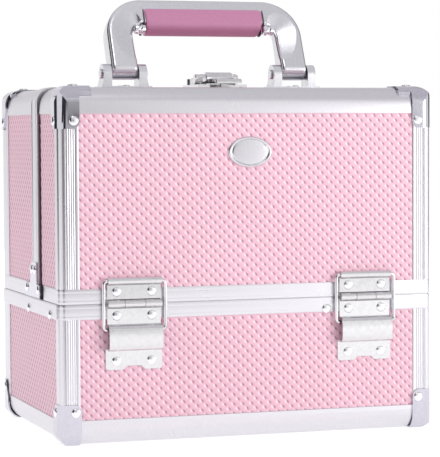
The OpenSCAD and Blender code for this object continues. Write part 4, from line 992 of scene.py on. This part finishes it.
dressed(BAR, "aluminium_bar", 0.15, "rear_lid_gap_frame")
dressed(CHROME, "aluminium_bar", 0.25, "tee_plates")
dressed(CHROME, "corner_steel", 0.45, "base_corner_guards", "front_lid_corner_guards",
        "rear_lid_corner_guards")
dressed(NICKEL, "hinge_steel", 0.22, "front_hinge_straps", "rear_hinge_straps",
        "front_hinge_leaves", "rear_hinge_leaves")
dressed(NICKEL, "hinge_steel", 0.0, "front_hinge_rings", "rear_hinge_rings", "front_hinge_pins",
        "rear_hinge_pins")
for body in ("base", "front_lid", "rear_lid"):
    rivet_heads(body + "_rivets", body)
dressed(CAST, "handle_metal", 0.35, "handle_brackets", "handle_pins")
dressed(NICKEL, "hinge_steel", 0.3, "lock_base", "lock_strike")
dressed(BRASS, "hinge_steel", 0.15, "key_plug")
dressed(ARM, "arm_steel", 0.25, "arm_brackets", "front_arms", "rear_arms", "lid_links",
        "tray_hangers_lower", "tray_hangers_upper")
dressed(TRAY, "tray_plastic", 0.5, "lower_tray", "upper_tray")
dressed(DIVIDER, "divider_plastic", 0.25, "lower_tray_dividers", "upper_tray_dividers")
dressed(LINING, "lining", 0.3, "base_lining", "front_lid_lining", "rear_lid_lining")
# the tongue in the lid gap in matt black: partly a black seal, partly painted shade in the gap
dressed(SEAL_AND_SHADE, "gap_seal", 0.3, "rear_lid_gap_seals")
dressed(GLASS, "mirror_glass", 0.4, "mirror")
dressed(BOARD, "base_board", 0.3, "base_floor_panel")


# ---------------------------------------------------------------- studio

FLOOR_HALF = 9000                  # half the floor's width
FLOOR_PAINT = (0.5, 0.5, 0.5, 1)   # part of the floor as it is seen that takes the shadow
FLOOR_GLOW = 0.7                   # part that is white by itself
SKY_COLOUR = (0.96, 0.95, 1.0, 1)  # light from all round on the object
SKY_LEVEL = 0.66
LAMPS = [   # place and size in metres, power in watts, and whether reflections show it
    ("soft_lamp_right", (1.1, -1.7, 0.9), 1.5, 1.5, 13.0, False),
    ("soft_lamp_left", (-1.6, -0.2, 0.9), 1.4, 1.4, 6.5, False),
    ("soft_lamp_back", (0.5, 1.8, 0.8), 1.5, 1.5, 7.0, False),
    ("low_reflector", (0.85, -1.05, 0.22), 0.8, 0.45, 3.5, True),
    ("small_top_softbox", (-0.14, -0.75, 1.154), 0.34, 0.34, 1.0, True)]
LAMP_AIM = (0, 0, 0.12)            # the point in metres at which every lamp looks
CARD = (-320, 560, 5, 705, -1000)  # left, right, low, high and depth of the dark card in front
FLAGS = [   # black cards that only reflections show, each by its four corners
    ("studio_flag_left", [[-850, 1350, 5], [-1500, 250, 5], [-1500, 250, 1600],
                          [-850, 1350, 1600]]),
    ("studio_flag_right", [[950, 1100, 5], [1500, 250, 5], [1500, 250, 1600], [950, 1100, 1600]]),
    ("studio_flag_above", [[-1500, -450, 350], [-700, -1300, 350], [-500, -1000, 1500],
                           [-1200, -200, 1500]]),
    ("studio_flag_near", [[-640, -900, 5], [-240, -900, 5], [-240, -900, 640], [-640, -900, 640]])]
CAMERA_PLACE = (-0.4291, -1.3092, 0.1937)   # in metres
CAMERA_TURNS = (18.39, -2.65, -0.3)         # yaw, pitch and roll in degrees
CAMERA_LENS = 161.7


def seen_directly(nodes, links):
    """1 for rays from the camera, a reflection or glass, 0 for the rays that light the object."""
    path = nodes.new("ShaderNodeLightPath")
    last = path.outputs["Is Camera Ray"]
    for kind in ("Is Glossy Ray", "Is Transmission Ray"):
        either = nodes.new("ShaderNodeMath")
        either.operation = "MAXIMUM"
        links.new(last, either.inputs[0])
        links.new(path.outputs[kind], either.inputs[1])
        last = either.outputs["Value"]
    return last


def flat_piece(name, corners, mat):
    """A flat sheet of the studio by its four corners."""
    mesh = shell(name, corners, [(0, 1, 2, 3)])
    mesh.materials.append(mat)
    sheet = bpy.data.objects.new(name, mesh)
    stand(sheet)
    return sheet


def white_floor():
    """A floor whose grey paint lights the object, and which is seen white with a soft shadow."""
    mat, nodes, links, bsdf, coords = shader("studio_floor_paint")
    nodes.remove(bsdf)
    lit = nodes.new("ShaderNodeBsdfDiffuse")
    links.new(grained(nodes, links, noise(nodes, links, coords, 3.0), (0.80, 0.79, 0.81),
                      (0.82, 0.81, 0.83)), lit.inputs["Color"])
    paint = nodes.new("ShaderNodeBsdfDiffuse")
    paint.inputs["Color"].default_value = FLOOR_PAINT
    glow = nodes.new("ShaderNodeEmission")
    glow.inputs["Strength"].default_value = FLOOR_GLOW
    seen = nodes.new("ShaderNodeAddShader")
    links.new(paint.outputs["BSDF"], seen.inputs[0])
    links.new(glow.outputs["Emission"], seen.inputs[1])
    pick = nodes.new("ShaderNodeMixShader")
    links.new(seen_directly(nodes, links), pick.inputs["Fac"])
    links.new(lit.outputs["BSDF"], pick.inputs[1])
    links.new(seen.outputs["Shader"], pick.inputs[2])
    links.new(pick.outputs["Shader"], nodes["Material Output"].inputs["Surface"])
    far = FLOOR_HALF
    flat_piece("studio_floor", [[-far, -far, 0], [far, -far, 0], [far, far, 0], [-far, far, 0]],
               mat)


def pale_sky():
    """Even light from all round, and what is seen of it: white at the horizon, greyer above."""
    world = bpy.data.worlds.new("studio")
    bpy.context.scene.world = world
    world.use_nodes = True
    nodes, links = world.node_tree.nodes, world.node_tree.links
    light = nodes["Background"]
    light.inputs["Color"].default_value = SKY_COLOUR
    light.inputs["Strength"].default_value = SKY_LEVEL
    seen = nodes.new("ShaderNodeBackground")
    seen.inputs["Strength"].default_value = 1.0
    coords = nodes.new("ShaderNodeTexCoord")
    split = nodes.new("ShaderNodeSeparateXYZ")
    links.new(coords.outputs["Generated"], split.inputs["Vector"])
    rise = ramp(nodes, links, split.outputs["Z"],
                [(0.0, (1, 1, 1)), (0.08, (1, 1, 1)), (0.3, (0.74, 0.72, 0.75)),
                 (0.7, (0.68, 0.67, 0.70)), (1.0, (0.72, 0.71, 0.74))])
    links.new(rise, seen.inputs["Color"])
    mix = nodes.new("ShaderNodeMixShader")
    links.new(seen_directly(nodes, links), mix.inputs["Fac"])
    links.new(light.outputs["Background"], mix.inputs[1])
    links.new(seen.outputs["Background"], mix.inputs[2])
    links.new(mix.outputs["Shader"], nodes["World Output"].inputs["Surface"])


def soft_lamps():
    """Large soft lamps at the right, the left and the back, and two small ones that also show as
    highlights."""
    for name, place, size, tall, watts, mirrored in LAMPS:
        lamp = bpy.data.lights.new(name, "AREA")
        lamp.shape = "RECTANGLE"
        lamp.size = size
        lamp.size_y = tall
        lamp.energy = watts
        obj = bpy.data.objects.new(name, lamp)
        obj.location = place
        aim = Vector(LAMP_AIM) - Vector(place)
        obj.rotation_euler = aim.to_track_quat("-Z", "Y").to_euler()
        obj.visible_glossy = mirrored
        stand(obj)


def card_cloth(name):
    """A new cloth for the cards, with its glow, which is dark."""
    mat, nodes, links, bsdf, coords = shader(name)
    nodes.remove(bsdf)
    cloth = nodes.new("ShaderNodeEmission")
    links.new(cloth.outputs["Emission"], nodes["Material Output"].inputs["Surface"])
    return mat, nodes, links, cloth, coords


def reflected_card(name, corners, mat):
    """A card that only reflections in the metal show."""
    card = flat_piece(name, corners, mat)
    for ray in ("camera", "diffuse", "shadow", "transmission", "volume_scatter"):
        setattr(card, "visible_" + ray, False)


def share_between(nodes, links, value, low, high):
    """How far a coordinate has come from low to high, 0 to 1."""
    node = nodes.new("ShaderNodeMapRange")
    node.inputs["From Min"].default_value = low / MM
    node.inputs["From Max"].default_value = high / MM
    links.new(value, node.inputs["Value"])
    return node.outputs["Result"]


def dark_cards():
    """Black flags beside and over the camera, and a large card in front whose grey deepens to the
    left and changes with the height, as one ramp across times one up it."""
    mat, nodes, links, cloth, coords = card_cloth("studio_black_cloth")
    links.new(grained(nodes, links, noise(nodes, links, coords, 6.0), (0.03, 0.03, 0.033),
                      (0.05, 0.05, 0.054)), cloth.inputs["Color"])
    for name, corners in FLAGS:
        reflected_card(name, corners, mat)

    left, right, low, high, away = CARD
    mat, nodes, links, cloth, coords = card_cloth("studio_dark_cloth")
    split = nodes.new("ShaderNodeSeparateXYZ")
    links.new(coords.outputs["Object"], split.inputs["Vector"])
    across = greys(nodes, links, share_between(nodes, links, split.outputs["X"], left, right),
                   [(0.0, 1), (0.509, 1), (0.534, 0.45), (0.744, 0), (0.92, 0), (0.938, 0.36),
                    (1.0, 0.36)])
    upward = greys(nodes, links, share_between(nodes, links, split.outputs["Z"], low, high),
                   [(0.0, 0.1), (0.06, 0.32), (0.28, 0.38), (0.309, 0.42), (0.314, 0.97),
                    (0.333, 0.97), (0.34, 0.66), (0.47, 0.42), (0.95, 0.3), (1.0, 0)])
    shade = nodes.new("ShaderNodeMath")
    shade.operation = "MULTIPLY"
    links.new(across, shade.inputs[0])
    links.new(upward, shade.inputs[1])
    links.new(ramp(nodes, links, shade.outputs["Value"],
                   [(0.0, (1, 1, 1)), (1.0, (0.01, 0.01, 0.012))]), cloth.inputs["Color"])
    reflected_card("studio_dark_card", [[left, away, low], [right, away, low], [right, away, high],
                                        [left, away, high]], mat)


def camera():
    """The photograph's view: from the left front, a little above the middle of the case."""
    yaw, pitch, roll = map(math.radians, CAMERA_TURNS)
    ahead = Vector((math.cos(pitch) * math.sin(yaw), math.cos(pitch) * math.cos(yaw),
                    math.sin(pitch)))
    level = Vector((math.cos(yaw), -math.sin(yaw), 0))
    up = level.cross(ahead)
    right = level * math.cos(roll) + up * math.sin(roll)
    up = up * math.cos(roll) - level * math.sin(roll)
    turn = Matrix((right, up, -ahead)).transposed()
    data = bpy.data.cameras.new("photo_view")
    data.lens = CAMERA_LENS
    data.sensor_width = 36.0
    data.clip_start, data.clip_end = 0.05, 30.0
    view = bpy.data.objects.new("photo_view", data)
    view.matrix_world = Matrix.Translation(Vector(CAMERA_PLACE)) @ turn.to_4x4()
    stand(view)
    bpy.context.scene.camera = view


white_floor()
pale_sky()
soft_lamps()
dark_cards()
camera()
bpy.context.scene.view_settings.view_transform = "Standard"
